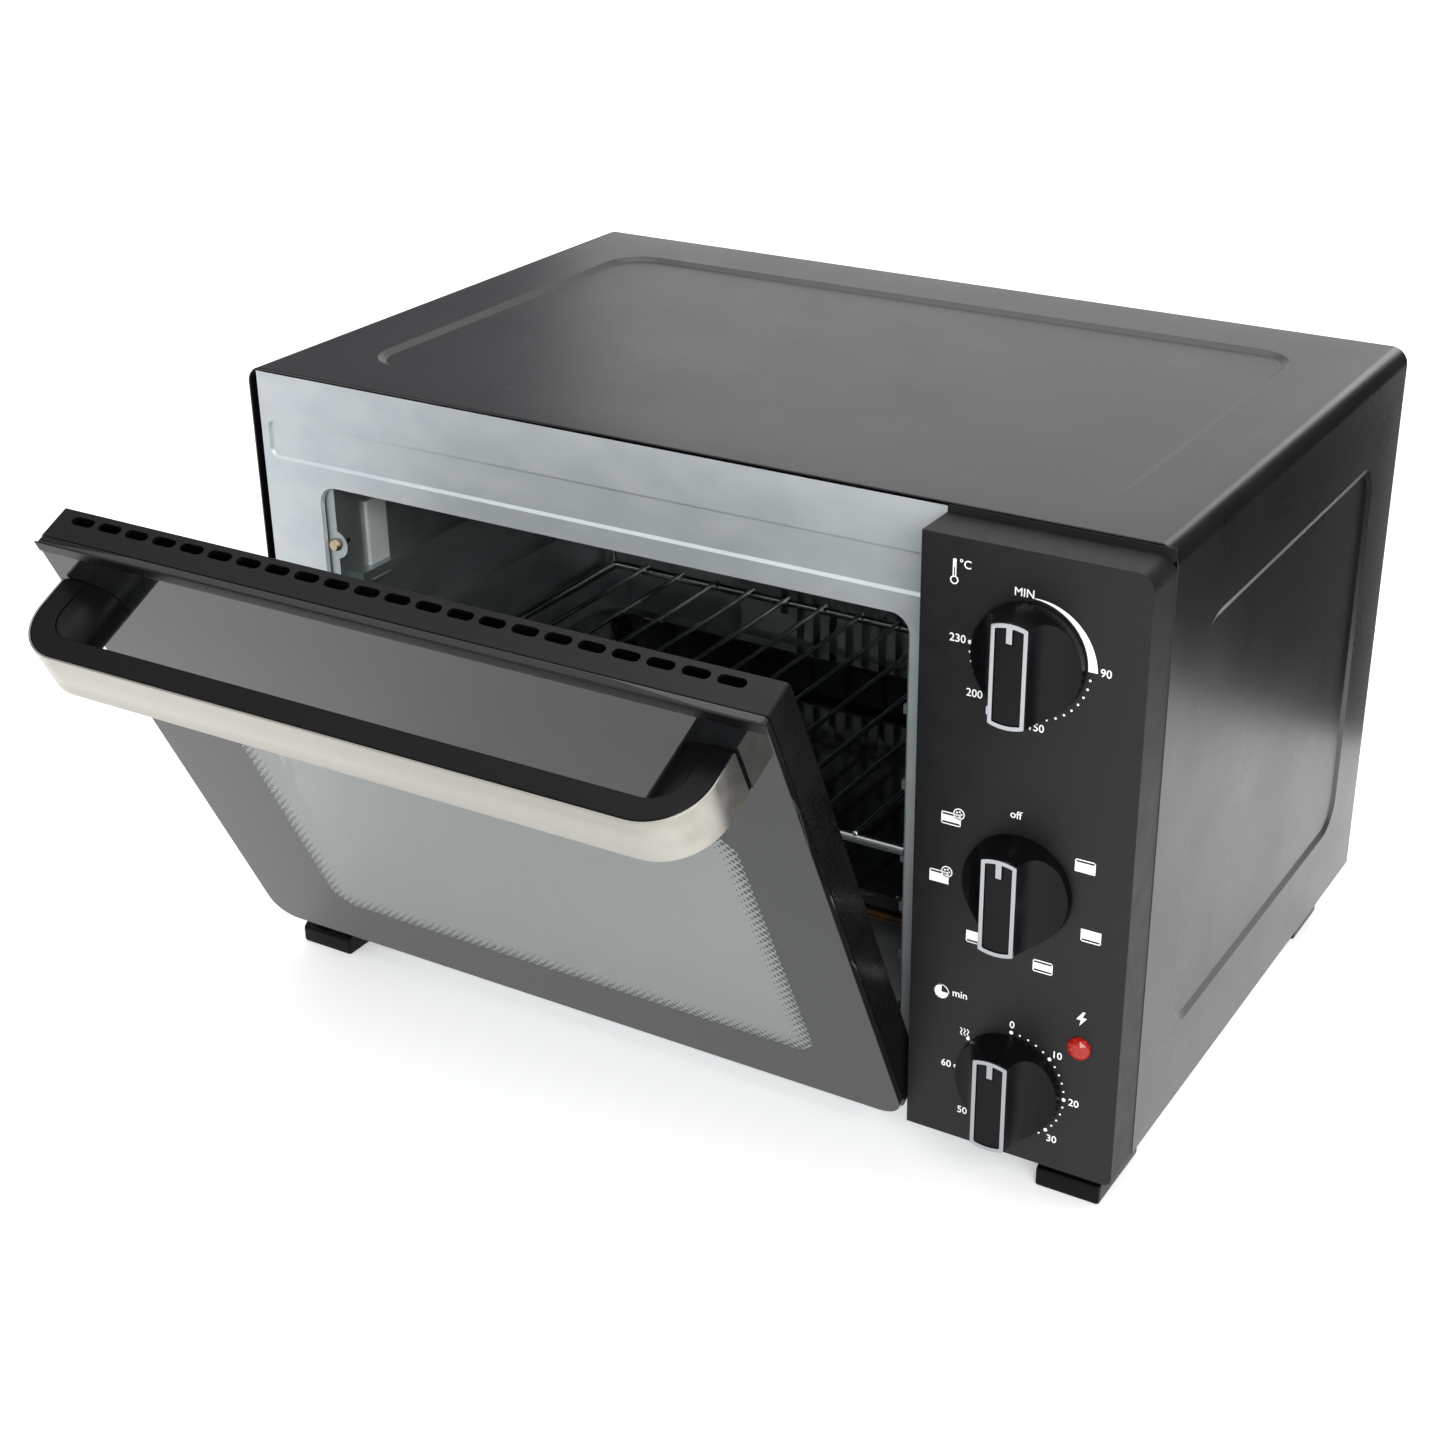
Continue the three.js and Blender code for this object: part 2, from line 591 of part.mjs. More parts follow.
function barOutline(half, radius, y0, y1) {
  return box(-half, half, -30, 0, -30, 30).intersect(cylinderY(0, 0, radius, y0, y1, 48));
}

function knobBody() {
  const profile = new THREE.Shape();
  profile.moveTo(-30, -KNOB.clearance);
  profile.lineTo(-30, -KNOB.rim);
  profile.lineTo(-KNOB.base + 0.8, -KNOB.rim);
  profile.quadraticCurveTo(-KNOB.bar - 1.5, -KNOB.rim - 0.5, -KNOB.bar, -KNOB.height);
  profile.lineTo(KNOB.bar, -KNOB.height);
  profile.quadraticCurveTo(KNOB.bar + 1.5, -KNOB.rim - 0.5, KNOB.base - 0.8, -KNOB.rim);
  profile.lineTo(30, -KNOB.rim);
  profile.lineTo(30, -KNOB.clearance);
  const taper = cylinderY(0, 0, KNOB.base, -KNOB.height, -KNOB.clearance, 48, KNOB.front);
  const shaped = alongZ(profile, -30, 30, 7).intersect(taper);
  const face = barOutline(KNOB.bar - TRIM.width - GAP, KNOB.front - TRIM.width - GAP, -21.8, -20);
  const notch = box(-1.9, 1.9, -25, -KNOB.height, 14.5, 25);
  return cut(join(shaped, face), notch, cylinderY(0, 0, 3 + GAP, -16, 0, 16));
}

function knobTrim() {
  const outer = barOutline(KNOB.bar, KNOB.front, -TRIM.front, -TRIM.back);
  const inner = barOutline(KNOB.bar - TRIM.width, KNOB.front - TRIM.width, -25, -20);
  const tongue = box(-1.5, 1.5, -TRIM.front, -TRIM.back, 15, 23);
  return join(cut(outer, inner), tongue);
}

function addKnob(name, z) {
  const knob = new THREE.Group();
  knob.position.set(KNOB_X, -PANEL.depth, z);
  body.add(knob);
  part(knob, `${name}_knob`, knobBody(), blackPlastic);
  part(knob, `${name}_trim`, knobTrim(), chrome);
  part(knob, `${name}_shaft`, cylinderY(0, 0, 3, -15.5, PANEL.depth + 17, 14), brushedSteel);
}

addKnob("thermostat", THERMOSTAT_Z);
addKnob("selector", SELECTOR_Z);
addKnob("timer", TIMER_Z);

// ---- Door hinges on the chassis -----------------------------------------------------------
const NOTCH = { half: 10, height: 22 };
const LUG = 3;

function hingeBracket(x) {
  const { y, z, knuckleRadius: r } = HINGE;
  const knuckle = cylinderX(y, z, r, x - 3, x + 3, 20);
  const arm = box(x - 3, x + 3, y, -GAP, z - 4, z + 4);
  const plate = box(x - 8, x + 8, -2.3, -GAP, z - 4, z + 20);
  return cut(join(knuckle, arm, plate), cylinderX(y, z, HINGE.pinRadius + GAP, x - 9, x + 9, 20));
}

class Coil extends THREE.Curve {
  constructor(radius, pitch, turns) {
    super();
    Object.assign(this, { radius, pitch, turns });
  }

  getPoint(t) {
    const angle = t * this.turns * Math.PI * 2;
    const x = t * this.turns * this.pitch;
    return new THREE.Vector3(x, this.radius * Math.cos(angle), this.radius * Math.sin(angle));
  }
}

function doorSpring(x) {
  const coil = rod(new Coil(4.1, 1.7, 3), 0.65, 24, 6);
  return coil.translate([x + 4.2, HINGE.y, HINGE.z]);
}

HINGE.x.forEach((x, i) => {
  const side = ["left", "right"][i];
  part(body, `hinge_bracket_${side}`, hingeBracket(x), zinc);
  part(body, `door_spring_${side}`, doorSpring(x), zinc);
});

// ---- Door ---------------------------------------------------------------------------------
// The door group's origin is the hinge axis; its own Z runs up the door and it leans open.
const door = new THREE.Group();
door.position.set(0, HINGE.y, HINGE.z);
door.rotation.x = DOOR_OPEN;
body.add(door);
const leaf = new THREE.Group();
leaf.position.set(0, -DOOR_FRONT, DOOR_LIFT);
door.add(leaf);

const VENT = { first: -236.7, length: 13.5, pitch: 16.65, count: 22, y: [14, 19] };
const WINDOW = { left: -192, right: 106, bottom: 34, top: 209, radius: 13 };
const INNER_GLASS = { left: -200, right: 112, bottom: 26, top: 217, front: 16.3, back: 19.8 };
const FRAME_FRONT = DOOR.glass + GAP;

function doorFrame() {
  const wall = 2.2;
  const { left, right, height, thickness } = DOOR;
  const block = alongY(rounded(left, right, 0, height, 10, 2), FRAME_FRONT, thickness);
  const pocket = alongY(rounded(left + wall, right - wall, wall, height - wall, 8, 1), 0, thickness - 2);
  const window = alongY(rounded(WINDOW.left, WINDOW.right, WINDOW.bottom, WINDOW.top, WINDOW.radius), 0, 30);
  const vents = [];
  for (let i = 0; i < VENT.count; i += 1) {
    const x = VENT.first + i * VENT.pitch;
    vents.push(alongZ(rounded(x, x + VENT.length, ...VENT.y, 2.4), height - 5, height + 5, 1));
  }
  let frame = cut(block, pocket, window, ...vents);
  HINGE.x.forEach((x) => {
    const y = DOOR_FRONT;
    const z = -DOOR_LIFT;
    const ears = [-NOTCH.half - LUG, NOTCH.half].map((u) => {
      const ear = box(x + u, x + u + LUG, y - 5.5, y + 8, z, NOTCH.height);
      return join(ear, cylinderX(y, z, 5.5, x + u, x + u + LUG, 20));
    });
    frame = cut(frame, box(x - NOTCH.half, x + NOTCH.half, 0, 30, -1, NOTCH.height));
    frame = cut(join(frame, ...ears), cylinderX(y, z, HINGE.pinRadius + GAP, x - 20, x + 20, 20));
  });
  return frame;
}

const SCREW_Z = (HANDLE.bottom + HANDLE.top) / 2;
const SCREW_X = [HANDLE.left + HANDLE.bar / 2, HANDLE.right - HANDLE.bar / 2];

function outerGlass() {
  const pane = alongY(rounded(DOOR.left, DOOR.right, 0, DOOR.height, 14, 3), 0, DOOR.glass);
  return cut(pane, ...SCREW_X.map((x) => cylinderY(x, SCREW_Z, 2.6, -5, 10, 14)));
}

function innerGlass() {
  const { left, right, bottom, top, front, back } = INNER_GLASS;
  return alongY(rounded(left, right, bottom, top, 6), front, back);
}

function glassClip(x, side) {
  const section = polygon([[0, 14.5], [16, 14.5], [16, 16], [7, 16], [7, 19.8], [0, 19.8]]);
  const clip = alongZ(section, 60, 190);
  return side > 0 ? clip.mirror([1, 0, 0]).translate([x, 0, 0]) : clip.translate([x, 0, 0]);
}

// The handle is a moulded bow with a steel strip bent round its outer face.
function bowOutline(inset) {
  const left = HANDLE.left + inset;
  const right = HANDLE.right - inset;
  const reach = HANDLE.reach - inset;
  const r = Math.max(HANDLE.radius - inset, 8);
  const outline = new THREE.Shape();
  outline.moveTo(left, -GAP);
  outline.lineTo(left, -(reach - r));
  outline.absarc(left + r, -(reach - r), r, Math.PI, Math.PI * 1.5, false);
  outline.lineTo(right - r, -reach);
  outline.absarc(right - r, -(reach - r), r, Math.PI * 1.5, Math.PI * 2, false);
  outline.lineTo(right, -GAP);
  return outline;
}

const STRIP = 1;
function handleBow() {
  const outer = alongZ(bowOutline(STRIP + GAP), HANDLE.bottom, HANDLE.top, 7);
  const inner = alongZ(bowOutline(HANDLE.bar), HANDLE.bottom - 1, HANDLE.top + 1, 7);
  const mouth = box(HANDLE.left + HANDLE.bar, HANDLE.right - HANDLE.bar, -5, 5, 200, 300);
  const bores = SCREW_X.map((x) => cylinderY(x, SCREW_Z, 2.4, -18, 5, 12));
  return cut(outer, inner, mouth, ...bores);
}

function handleStrip() {
  const outer = alongZ(bowOutline(0), HANDLE.bottom + 1, HANDLE.top, 7);
  const inner = alongZ(bowOutline(STRIP), HANDLE.bottom - 1, HANDLE.top + 1, 7);
  const ends = box(HANDLE.left - 5, HANDLE.right + 5, -1.2, 5, 200, 300);
  return cut(outer, inner, ends);
}

function handleScrew(x) {
  const shank = cylinderY(x, SCREW_Z, 2, -17, 6, 12);
  return join(shank, cylinderY(x, SCREW_Z, 4.2, DOOR.glass + GAP, DOOR.glass + 3, 16));
}

part(leaf, "door_frame", doorFrame(), frameBlack);
part(leaf, "door_glass_outer", outerGlass(), smokedGlass);
part(leaf, "door_glass_inner", innerGlass(), clearGlass);
part(leaf, "glass_clip_left", glassClip(INNER_GLASS.left - 8, -1), zinc);
part(leaf, "glass_clip_right", glassClip(INNER_GLASS.right + 8, 1), zinc);
part(leaf, "handle_bow", handleBow(), frameBlack);
part(leaf, "handle_strip", handleStrip(), brushedSteel);
part(leaf, "handle_screw_left", handleScrew(SCREW_X[0]), zinc);
part(leaf, "handle_screw_right", handleScrew(SCREW_X[1]), zinc);

function hingePin(x) {
  const half = NOTCH.half + LUG;
  return cylinderX(0, 0, HINGE.pinRadius, x - half, x + half);
}
part(door, "hinge_pin_left", hingePin(HINGE.x[0]), brushedSteel);
part(door, "hinge_pin_right", hingePin(HINGE.x[1]), brushedSteel);

// ---- Rack and trays -----------------------------------------------------------------------
function wireRack() {
  const r = RACK.bar;
  const left = CAVITY.left + 2 + r;
  const right = CAVITY.right - 2 - r;
  const z = GUIDE_TOPS[2] + GAP + r;
  const rails = [left, right].map((x) => cylinderY(x, z, r, RACK.front, RACK.back, 10));
  const bars = [RACK.front, RACK.back].map((y) => cylinderX(y, z, r, left - 1.5, right + 1.5, 10));
  const stops = [left, right].map((x) => cylinderZ(x, RACK.back, 2, z, z + 14, 8));
  const wires = [];
  for (let i = 1; i <= RACK.wires; i += 1) {
    const x = left + ((right - left) * i) / (RACK.wires + 1);
    wires.push(cylinderY(x, z + r, RACK.wire, RACK.front - 1, RACK.back + 1, 6));
  }
  return join(rails[0], rails[1], ...bars, ...stops, ...wires);
}

// A pan with sloping sides, hollowed from above; `slope` is how far its floor is set in.
function pan(x0, x1, y0, y1, z0, z1, slope, radius, thickness) {
  const upright = plateau(x0, x1, y0, y1, -z1, -z0, slope, radius).mirror([0, 0, 1]);
  const t = thickness;
  const hollow = plateau(x0 + t, x1 - t, y0 + t, y1 - t, -z1, -z0 - t, slope, radius - t).mirror([0, 0, 1]);
  return cut(upright, hollow);
}

function bakingTray() {
  const { left, right, front, back, rim, depth, flange } = TRAY;
  const f = flange;
  const flat = alongZ(rounded(left, right, front, back, 14), rim - 0.2, rim + 1);
  const i = f + 1;
  const mouth = alongZ(rounded(left + i, right - i, front + i, back - i, 11), rim - 2, rim + 3);
  const dish = pan(left + f, right - f, front + f, back - f, rim - depth, rim, 13, 12, 1);
  return join(cut(flat, mouth), dish);
}

function crumbTray() {
  const { left, right, front, back, height } = CRUMB;
  const z = CAVITY.bottom + GAP;
  const dish = pan(left, right, front, back, z, z + height, 3, 5, 0.8);
  return join(dish, box(-80, 2, front - 6, front + 0.6, z + height - 1.2, z + height));
}

part(body, "wire_rack", wireRack(), chrome);
part(body, "baking_tray", bakingTray(), enamel);
part(body, "crumb_tray", crumbTray(), galvanised);

export default oven;
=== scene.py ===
# %% [markdown]
# A bench-top toaster oven, door ajar. The engineering model arrives as a fixed frame: every part
# is in its real place, in metres, Z up. This lesson keeps the plain inner parts, gives the visible
# ones softer edges or builds them again with bmesh operators, and makes a finish for each.

# %% Load the frame
import json
import math

import bmesh
import bpy
from mathutils import Matrix, Vector

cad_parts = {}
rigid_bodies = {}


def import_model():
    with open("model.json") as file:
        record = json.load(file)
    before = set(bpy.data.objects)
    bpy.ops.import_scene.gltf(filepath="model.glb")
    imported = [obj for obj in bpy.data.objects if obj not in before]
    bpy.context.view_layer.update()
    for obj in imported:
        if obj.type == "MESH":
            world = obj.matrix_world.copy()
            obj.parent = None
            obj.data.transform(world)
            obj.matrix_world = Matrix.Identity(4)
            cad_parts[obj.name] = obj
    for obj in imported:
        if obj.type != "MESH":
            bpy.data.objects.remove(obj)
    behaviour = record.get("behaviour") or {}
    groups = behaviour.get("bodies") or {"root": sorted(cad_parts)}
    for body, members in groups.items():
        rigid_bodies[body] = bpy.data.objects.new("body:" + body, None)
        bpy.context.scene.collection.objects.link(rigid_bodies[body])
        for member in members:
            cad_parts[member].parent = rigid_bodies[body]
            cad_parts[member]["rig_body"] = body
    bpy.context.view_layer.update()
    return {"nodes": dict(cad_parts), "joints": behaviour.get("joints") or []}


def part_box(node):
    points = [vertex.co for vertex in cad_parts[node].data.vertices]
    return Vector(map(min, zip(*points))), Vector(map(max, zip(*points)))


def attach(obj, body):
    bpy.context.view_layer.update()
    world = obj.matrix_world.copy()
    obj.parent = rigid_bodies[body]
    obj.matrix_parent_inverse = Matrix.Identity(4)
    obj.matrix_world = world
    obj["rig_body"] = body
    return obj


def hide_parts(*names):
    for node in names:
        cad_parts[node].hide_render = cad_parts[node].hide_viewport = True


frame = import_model()

# %% [markdown]
# Three places to work in. The casing is drawn from the cover's front lower edge, the door from its
# own lower front edge, and each knob from its hub. A matrix takes millimetres there to metres in
# the frame, so a door part is drawn upright and then leans with the door.

# %% Places to draw in
MM = 0.001
cover_low, cover_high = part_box("outer_cover")
joints = {joint["name"]: joint for joint in frame["joints"]}
DOOR_LEAN = math.radians(-joints["door_hinge"]["range_deg"][0])
DOOR_FRONT = 10.85
DOOR_LIFT = 2.0
SCALE = Matrix.Scale(MM, 4)

CASING = Matrix.Translation((0, cover_low.y, cover_low.z)) @ SCALE
hinge = Vector(joints["door_hinge"]["pos_m"])
DOOR = (
    Matrix.Translation(hinge)
    @ Matrix.Rotation(DOOR_LEAN, 4, "X")
    @ SCALE
    @ Matrix.Translation((0, -DOOR_FRONT, DOOR_LIFT))
)
print("door leans", round(math.degrees(DOOR_LEAN), 1), "degrees")

# %% [markdown]
# The camera stands where an observer does who looks down on the right front corner. It is set
# first, so that everything is judged from there.

# %% Camera
CAMERA_PLACE = Vector((0.5523, -0.9116, 0.6747))
CAMERA_LOOK = Vector((-0.4456, 0.7761, -0.4463))
SENSOR_MM = 36.0
LENS_MM = 57.79
LENS_SHIFT = (-0.0523, 0.0204)
camera_data = bpy.data.cameras.new("camera")
camera_data.sensor_width = SENSOR_MM
camera_data.lens = LENS_MM
camera_data.shift_x, camera_data.shift_y = LENS_SHIFT
camera = bpy.data.objects.new("camera", camera_data)
bpy.context.scene.collection.objects.link(camera)
camera.location = CAMERA_PLACE
camera.rotation_mode = "QUATERNION"
camera.rotation_quaternion = CAMERA_LOOK.to_track_quat("-Z", "Y")
bpy.context.scene.camera = camera
print("camera distance", round(CAMERA_PLACE.length, 2), "m")


# %% [markdown]
# Colours are written as sRGB hex and turned linear once. One function adds any shader node, with
# its settings and its links, and another starts a material from a Principled BSDF whose constant
# values sit on the shader's own sockets.

# %% Colour and node helpers
GRAINS_PER_PATCH = 30
NOISE_SPAN = (0.6, 1.4)
TONE_SPAN = (0.35, 0.65)


def linear(hex_colour):
    channels = [int(hex_colour[i : i + 2], 16) / 255 for i in (1, 3, 5)]
    return [c / 12.92 if c <= 0.04045 else ((c + 0.055) / 1.055) ** 2.4 for c in channels] + [1.0]


def add_node(material, kind, sockets=None, **settings):
    made = material.node_tree.nodes.new("ShaderNode" + kind)
    for name, value in settings.items():
        setattr(made, name, value)
    for name, value in (sockets or {}).items():
        if isinstance(value, bpy.types.NodeSocket):
            material.node_tree.links.new(value, made.inputs[name])
        else:
            made.inputs[name].default_value = value
    return made


def new_finish(name, colour, roughness, metallic=0.0, **sockets):
    material = bpy.data.materials.new(name)
    material.use_nodes = True
    shader = material.node_tree.nodes["Principled BSDF"]
    shader.inputs["Base Color"].default_value = linear(colour)
    shader.inputs["Roughness"].default_value = roughness
    shader.inputs["Metallic"].default_value = metallic
    for socket, value in sockets.items():
        shader.inputs[socket.replace("_", " ")].default_value = value
    return material, shader


def set_grain(material, shader, size_mm, depth_mm, rough, tones=None, stretch=(1, 1, 1)):
    """Fine relief of one real size, which also drives roughness and, with tones, the colour."""
    links = material.node_tree.links
    place = add_node(material, "TexCoord").outputs["Object"]
    scaled = add_node(material, "Mapping", {"Vector": place, "Scale": stretch}).outputs[0]
    noise = add_node(
        material, "TexNoise", {"Vector": scaled, "Scale": 1000 / size_mm, "Detail": 3.0}
    ).outputs["Fac"]
    broad = add_node(
        material, "TexNoise", {"Vector": scaled, "Scale": 1000 / (size_mm * GRAINS_PER_PATCH), "Detail": 2.0}
    ).outputs["Fac"]
    blend = add_node(
        material, "Math", {0: noise, 1: broad}, operation="ADD"
    ).outputs[0]
    ranged = add_node(
        material,
        "MapRange",
        {
            "Value": blend,
            "From Min": NOISE_SPAN[0],
            "From Max": NOISE_SPAN[1],
            "To Min": rough[0],
            "To Max": rough[1],
        },
    ).outputs[0]
    links.new(ranged, shader.inputs["Roughness"])
    bump = add_node(
        material, "Bump", {"Height": noise, "Distance": depth_mm * MM, "Strength": 1.0}
    ).outputs[0]
    links.new(bump, shader.inputs["Normal"])
    if tones:
        ramp = add_node(material, "ValToRGB", {"Fac": broad})
        for element, tone, position in zip(ramp.color_ramp.elements, tones, TONE_SPAN):
            element.color = linear(tone)
            element.position = position
        links.new(ramp.outputs[0], shader.inputs["Base Color"])


# %% [markdown]
# Finishes of the casing. Stoving paint on sheet steel has a faint orange peel of about 1.5 mm and
# a satin sheen. Moulded ABS carries a spark-eroded texture near 0.4 mm. Galvanised sheet is a
# bright metal with soft grey spangle some centimetres across and a fine rolling grain.

# %% Casing finishes
cover_paint, shader = new_finish("satin_stoving_paint", "#0f0f12", 0.3, IOR=1.55)
set_grain(cover_paint, shader, 1.5, 0.006, (0.26, 0.34), ("#0e0e11", "#111114"))

panel_abs, shader = new_finish(
    "spark_eroded_abs", "#141416", 0.5, IOR=1.5, Specular_IOR_Level=0.3
)
set_grain(panel_abs, shader, 0.4, 0.015, (0.46, 0.58), ("#131315", "#161618"))

galvanised, shader = new_finish("galvanised_sheet", "#cdd3d7", 0.42, 0.5)
set_grain(galvanised, shader, 0.8, 0.006, (0.38, 0.46), ("#c9d0d4", "#d1d7da"), (1, 1, 1.6))

liner_steel, shader = new_finish("aluminised_liner", "#a7b0b0", 0.34, 0.85)
set_grain(liner_steel, shader, 1.2, 0.008, (0.28, 0.4), ("#9ea8a8", "#b0b8b8"))

foot_plastic, shader = new_finish(
    "glossy_foot_moulding", "#060607", 0.3, IOR=1.5, Specular_IOR_Level=0.12
)
set_grain(foot_plastic, shader, 0.6, 0.01, (0.2, 0.34))

frame_paint, shader = new_finish(
    "semi_matt_door_enamel", "#0a0a0c", 0.3, IOR=1.45, Specular_IOR_Level=0.25
)
set_grain(frame_paint, shader, 0.9, 0.008, (0.22, 0.36), ("#09090b", "#0c0c0e"))

knob_plastic, shader = new_finish(
    "satin_knob_moulding", "#08080a", 0.3, IOR=1.5, Specular_IOR_Level=0.14
)
set_grain(knob_plastic, shader, 0.35, 0.008, (0.26, 0.38))

print("casing finishes:", len(bpy.data.materials))

# %% [markdown]
# Metals and small finishes. Brushed stainless has hair lines along the handle, so its noise is
# squeezed across them and stretched along X. The element's sheath is oxidised by heat into browns.
# Enamel is a thick black glass on steel, and the lamp lens is clear red acrylic.

# %% Metal and small finishes
brushed, shader = new_finish("brushed_stainless", "#a8a59e", 0.3, 1.0)
set_grain(brushed, shader, 0.5, 0.004, (0.24, 0.38), ("#a09d95", "#b0aea7"), (0.02, 1, 1))

chrome, shader = new_finish("bright_chrome", "#a3a6aa", 0.14, 1.0)
set_grain(chrome, shader, 2.0, 0.002, (0.09, 0.17))

zinc, shader = new_finish("bright_zinc", "#b9bcbd", 0.32, 1.0)
set_grain(zinc, shader, 1.0, 0.006, (0.26, 0.42), ("#aaaeb0", "#c6c8c9"))

wire_plate, shader = new_finish("plated_rack_wire", "#a9abad", 0.16, 1.0)
set_grain(wire_plate, shader, 1.5, 0.004, (0.12, 0.26))

brass, shader = new_finish("yellow_passivated_steel", "#b3a68a", 0.28, 1.0)
set_grain(brass, shader, 0.8, 0.006, (0.2, 0.36), ("#a59679", "#c2b79d"))

sheath, shader = new_finish("heat_tinted_sheath", "#5a4638", 0.42, 1.0)
set_grain(sheath, shader, 1.0, 0.01, (0.34, 0.52), ("#3f332b", "#8a5f3c"))

ceramic, shader = new_finish("unglazed_ceramic", "#e4dfd2", 0.7)
set_grain(ceramic, shader, 0.7, 0.02, (0.62, 0.8), ("#dcd6c6", "#ebe7dc"))

enamel, shader = new_finish("black_vitreous_enamel", "#0e0f10", 0.08, IOR=1.55)
set_grain(enamel, shader, 3.0, 0.02, (0.05, 0.12))

print_white, shader = new_finish("screen_print_white", "#ffffff", 0.5, IOR=1.5)
set_grain(print_white, shader, 0.5, 0.004, (0.44, 0.56))

lens_red, shader = new_finish("clear_red_acrylic", "#d8200f", 0.1, IOR=1.49, Transmission_Weight=0.35)
set_grain(lens_red, shader, 1.2, 0.05, (0.06, 0.16), ("#b5170b", "#ee3a1e"))

inner_glass, shader = new_finish(
    "clear_toughened_glass", "#dfe9e6", 0.03, IOR=1.5, Transmission_Weight=1.0
)
set_grain(inner_glass, shader, 12.0, 0.004, (0.02, 0.05))
print("finishes:", len(bpy.data.materials))


# %% [markdown]
# The door's outer pane is grey glass with a print on its back: solid grey outside the window, and
# dots that fade away inside the window's edge. Inside the window the base colour is a pale grey
# with some transmission; the pale grey is a painted reflection of the inner pane and of the light
# behind the door. The pattern is drawn in the door's own millimetres by a Mapping node that undoes
# the lean. The distance to a rounded rectangle says how far a point is from the window's edge, and
# the dots of a slanting lattice, 3.2 mm apart, shrink with it.

# %% Printed door glass
WINDOW_MIDDLE = (-42.0, 0.0, 120.5)
WINDOW_HALF = (146.0, 0.0, 84.5)
WINDOW_RADIUS = 13.0
DOT_PITCH = 3.2
DOT_BAND = 13.0
LARGEST_DOT = 0.46
LATTICE_TURN = math.radians(45)
PRINTED = "#141617"
# Painted light: the pale window grey stands in for the inner pane's reflections and the light from behind.
WINDOW_PAINTED_LIGHT = "#a4abaa"
CLEAR_TRANSMISSION = 0.6


def printed_glass():
    material, shader = new_finish("printed_grey_glass", "#232527", 0.03, IOR=1.47)
    links = material.node_tree.links
    place = add_node(material, "TexCoord").outputs["Object"]
    leaf = add_node(
        material,
        "Mapping",
        {
            "Vector": place,
            "Location": DOOR.to_translation(),
            "Rotation": (DOOR_LEAN, 0, 0),
            "Scale": (MM, MM, MM),
        },
        vector_type="TEXTURE",
    ).outputs[0]
    flat = add_node(
        material, "VectorMath", {0: leaf, 1: (1, 0, 1)}, operation="MULTIPLY"
    ).outputs[0]
    centred = add_node(
        material, "VectorMath", {0: flat, 1: WINDOW_MIDDLE}, operation="SUBTRACT"
    ).outputs[0]
    folded = add_node(material, "VectorMath", {0: centred}, operation="ABSOLUTE").outputs[0]
    straight = tuple(max(half - WINDOW_RADIUS, 0) for half in WINDOW_HALF)
    beyond = add_node(
        material, "VectorMath", {0: folded, 1: straight}, operation="SUBTRACT"
    ).outputs[0]
    outside = add_node(
        material, "VectorMath", {0: beyond, 1: (0, 0, 0)}, operation="MAXIMUM"
    ).outputs[0]
    corner = add_node(material, "VectorMath", {0: outside}, operation="LENGTH").outputs["Value"]
    distance = add_node(
        material, "Math", {0: corner, 1: WINDOW_RADIUS}, operation="SUBTRACT"
    ).outputs[0]
    turned = add_node(
        material, "Mapping", {"Vector": flat, "Rotation": (0, LATTICE_TURN, 0)}
    ).outputs[0]
    cells = add_node(
        material, "VectorMath", {0: turned, 1: (1 / DOT_PITCH, 0, 1 / DOT_PITCH)}, operation="MULTIPLY"
    ).outputs[0]
    within = add_node(material, "VectorMath", {0: cells}, operation="FRACTION").outputs[0]
    offset = add_node(
        material, "VectorMath", {0: within, 1: (0.5, 0, 0.5)}, operation="SUBTRACT"
    ).outputs[0]
    to_dot = add_node(material, "VectorMath", {0: offset}, operation="LENGTH").outputs["Value"]
    dot_size = add_node(
        material,
        "MapRange",
        {
            "Value": distance,
            "From Min": -DOT_BAND,
            "From Max": 0.0,
            "To Min": 0.0,
            "To Max": LARGEST_DOT,
        },
    ).outputs[0]
    between = add_node(
        material, "Math", {0: to_dot, 1: dot_size}, operation="GREATER_THAN"
    ).outputs[0]
    inside = add_node(material, "Math", {0: distance, 1: 0.0}, operation="LESS_THAN").outputs[0]
    clear = add_node(
        material, "Math", {0: between, 1: inside}, operation="MULTIPLY"
    ).outputs[0]
    # The window's pale colour is painted reflection and light from behind; the print stays dark.
    colour = add_node(
        material,
        "Mix",
        {0: clear, 6: linear(PRINTED), 7: linear(WINDOW_PAINTED_LIGHT)},
        data_type="RGBA",
    ).outputs[2]
    see_through = add_node(
        material, "Math", {0: clear, 1: CLEAR_TRANSMISSION}, operation="MULTIPLY"
    ).outputs[0]
    links.new(colour, shader.inputs["Base Color"])
    links.new(see_through, shader.inputs["Transmission Weight"])
    return material


door_glass = printed_glass()
print("window", 2 * WINDOW_HALF[0], "by", 2 * WINDOW_HALF[2], "mm")


# %% [markdown]
# Shared ways of working. A new piece is drawn in a bmesh in millimetres, its doubles are merged and
# its normals recalculated, and a matrix puts it in its place before it becomes a mesh. A plain part
# of the frame that is the right shape is copied, merged and given small bevels, because real
# pressed and moulded edges are never sharp and it is those edges that catch the light. Weighted
# normals keep the large faces flat next to their bevels, or a pane would mirror like a cushion.

# %% Piece helpers
SHARP = math.radians(32)
CORNER = math.radians(60)
QUARTER = math.pi / 2
MERGE_MM = 1e-4


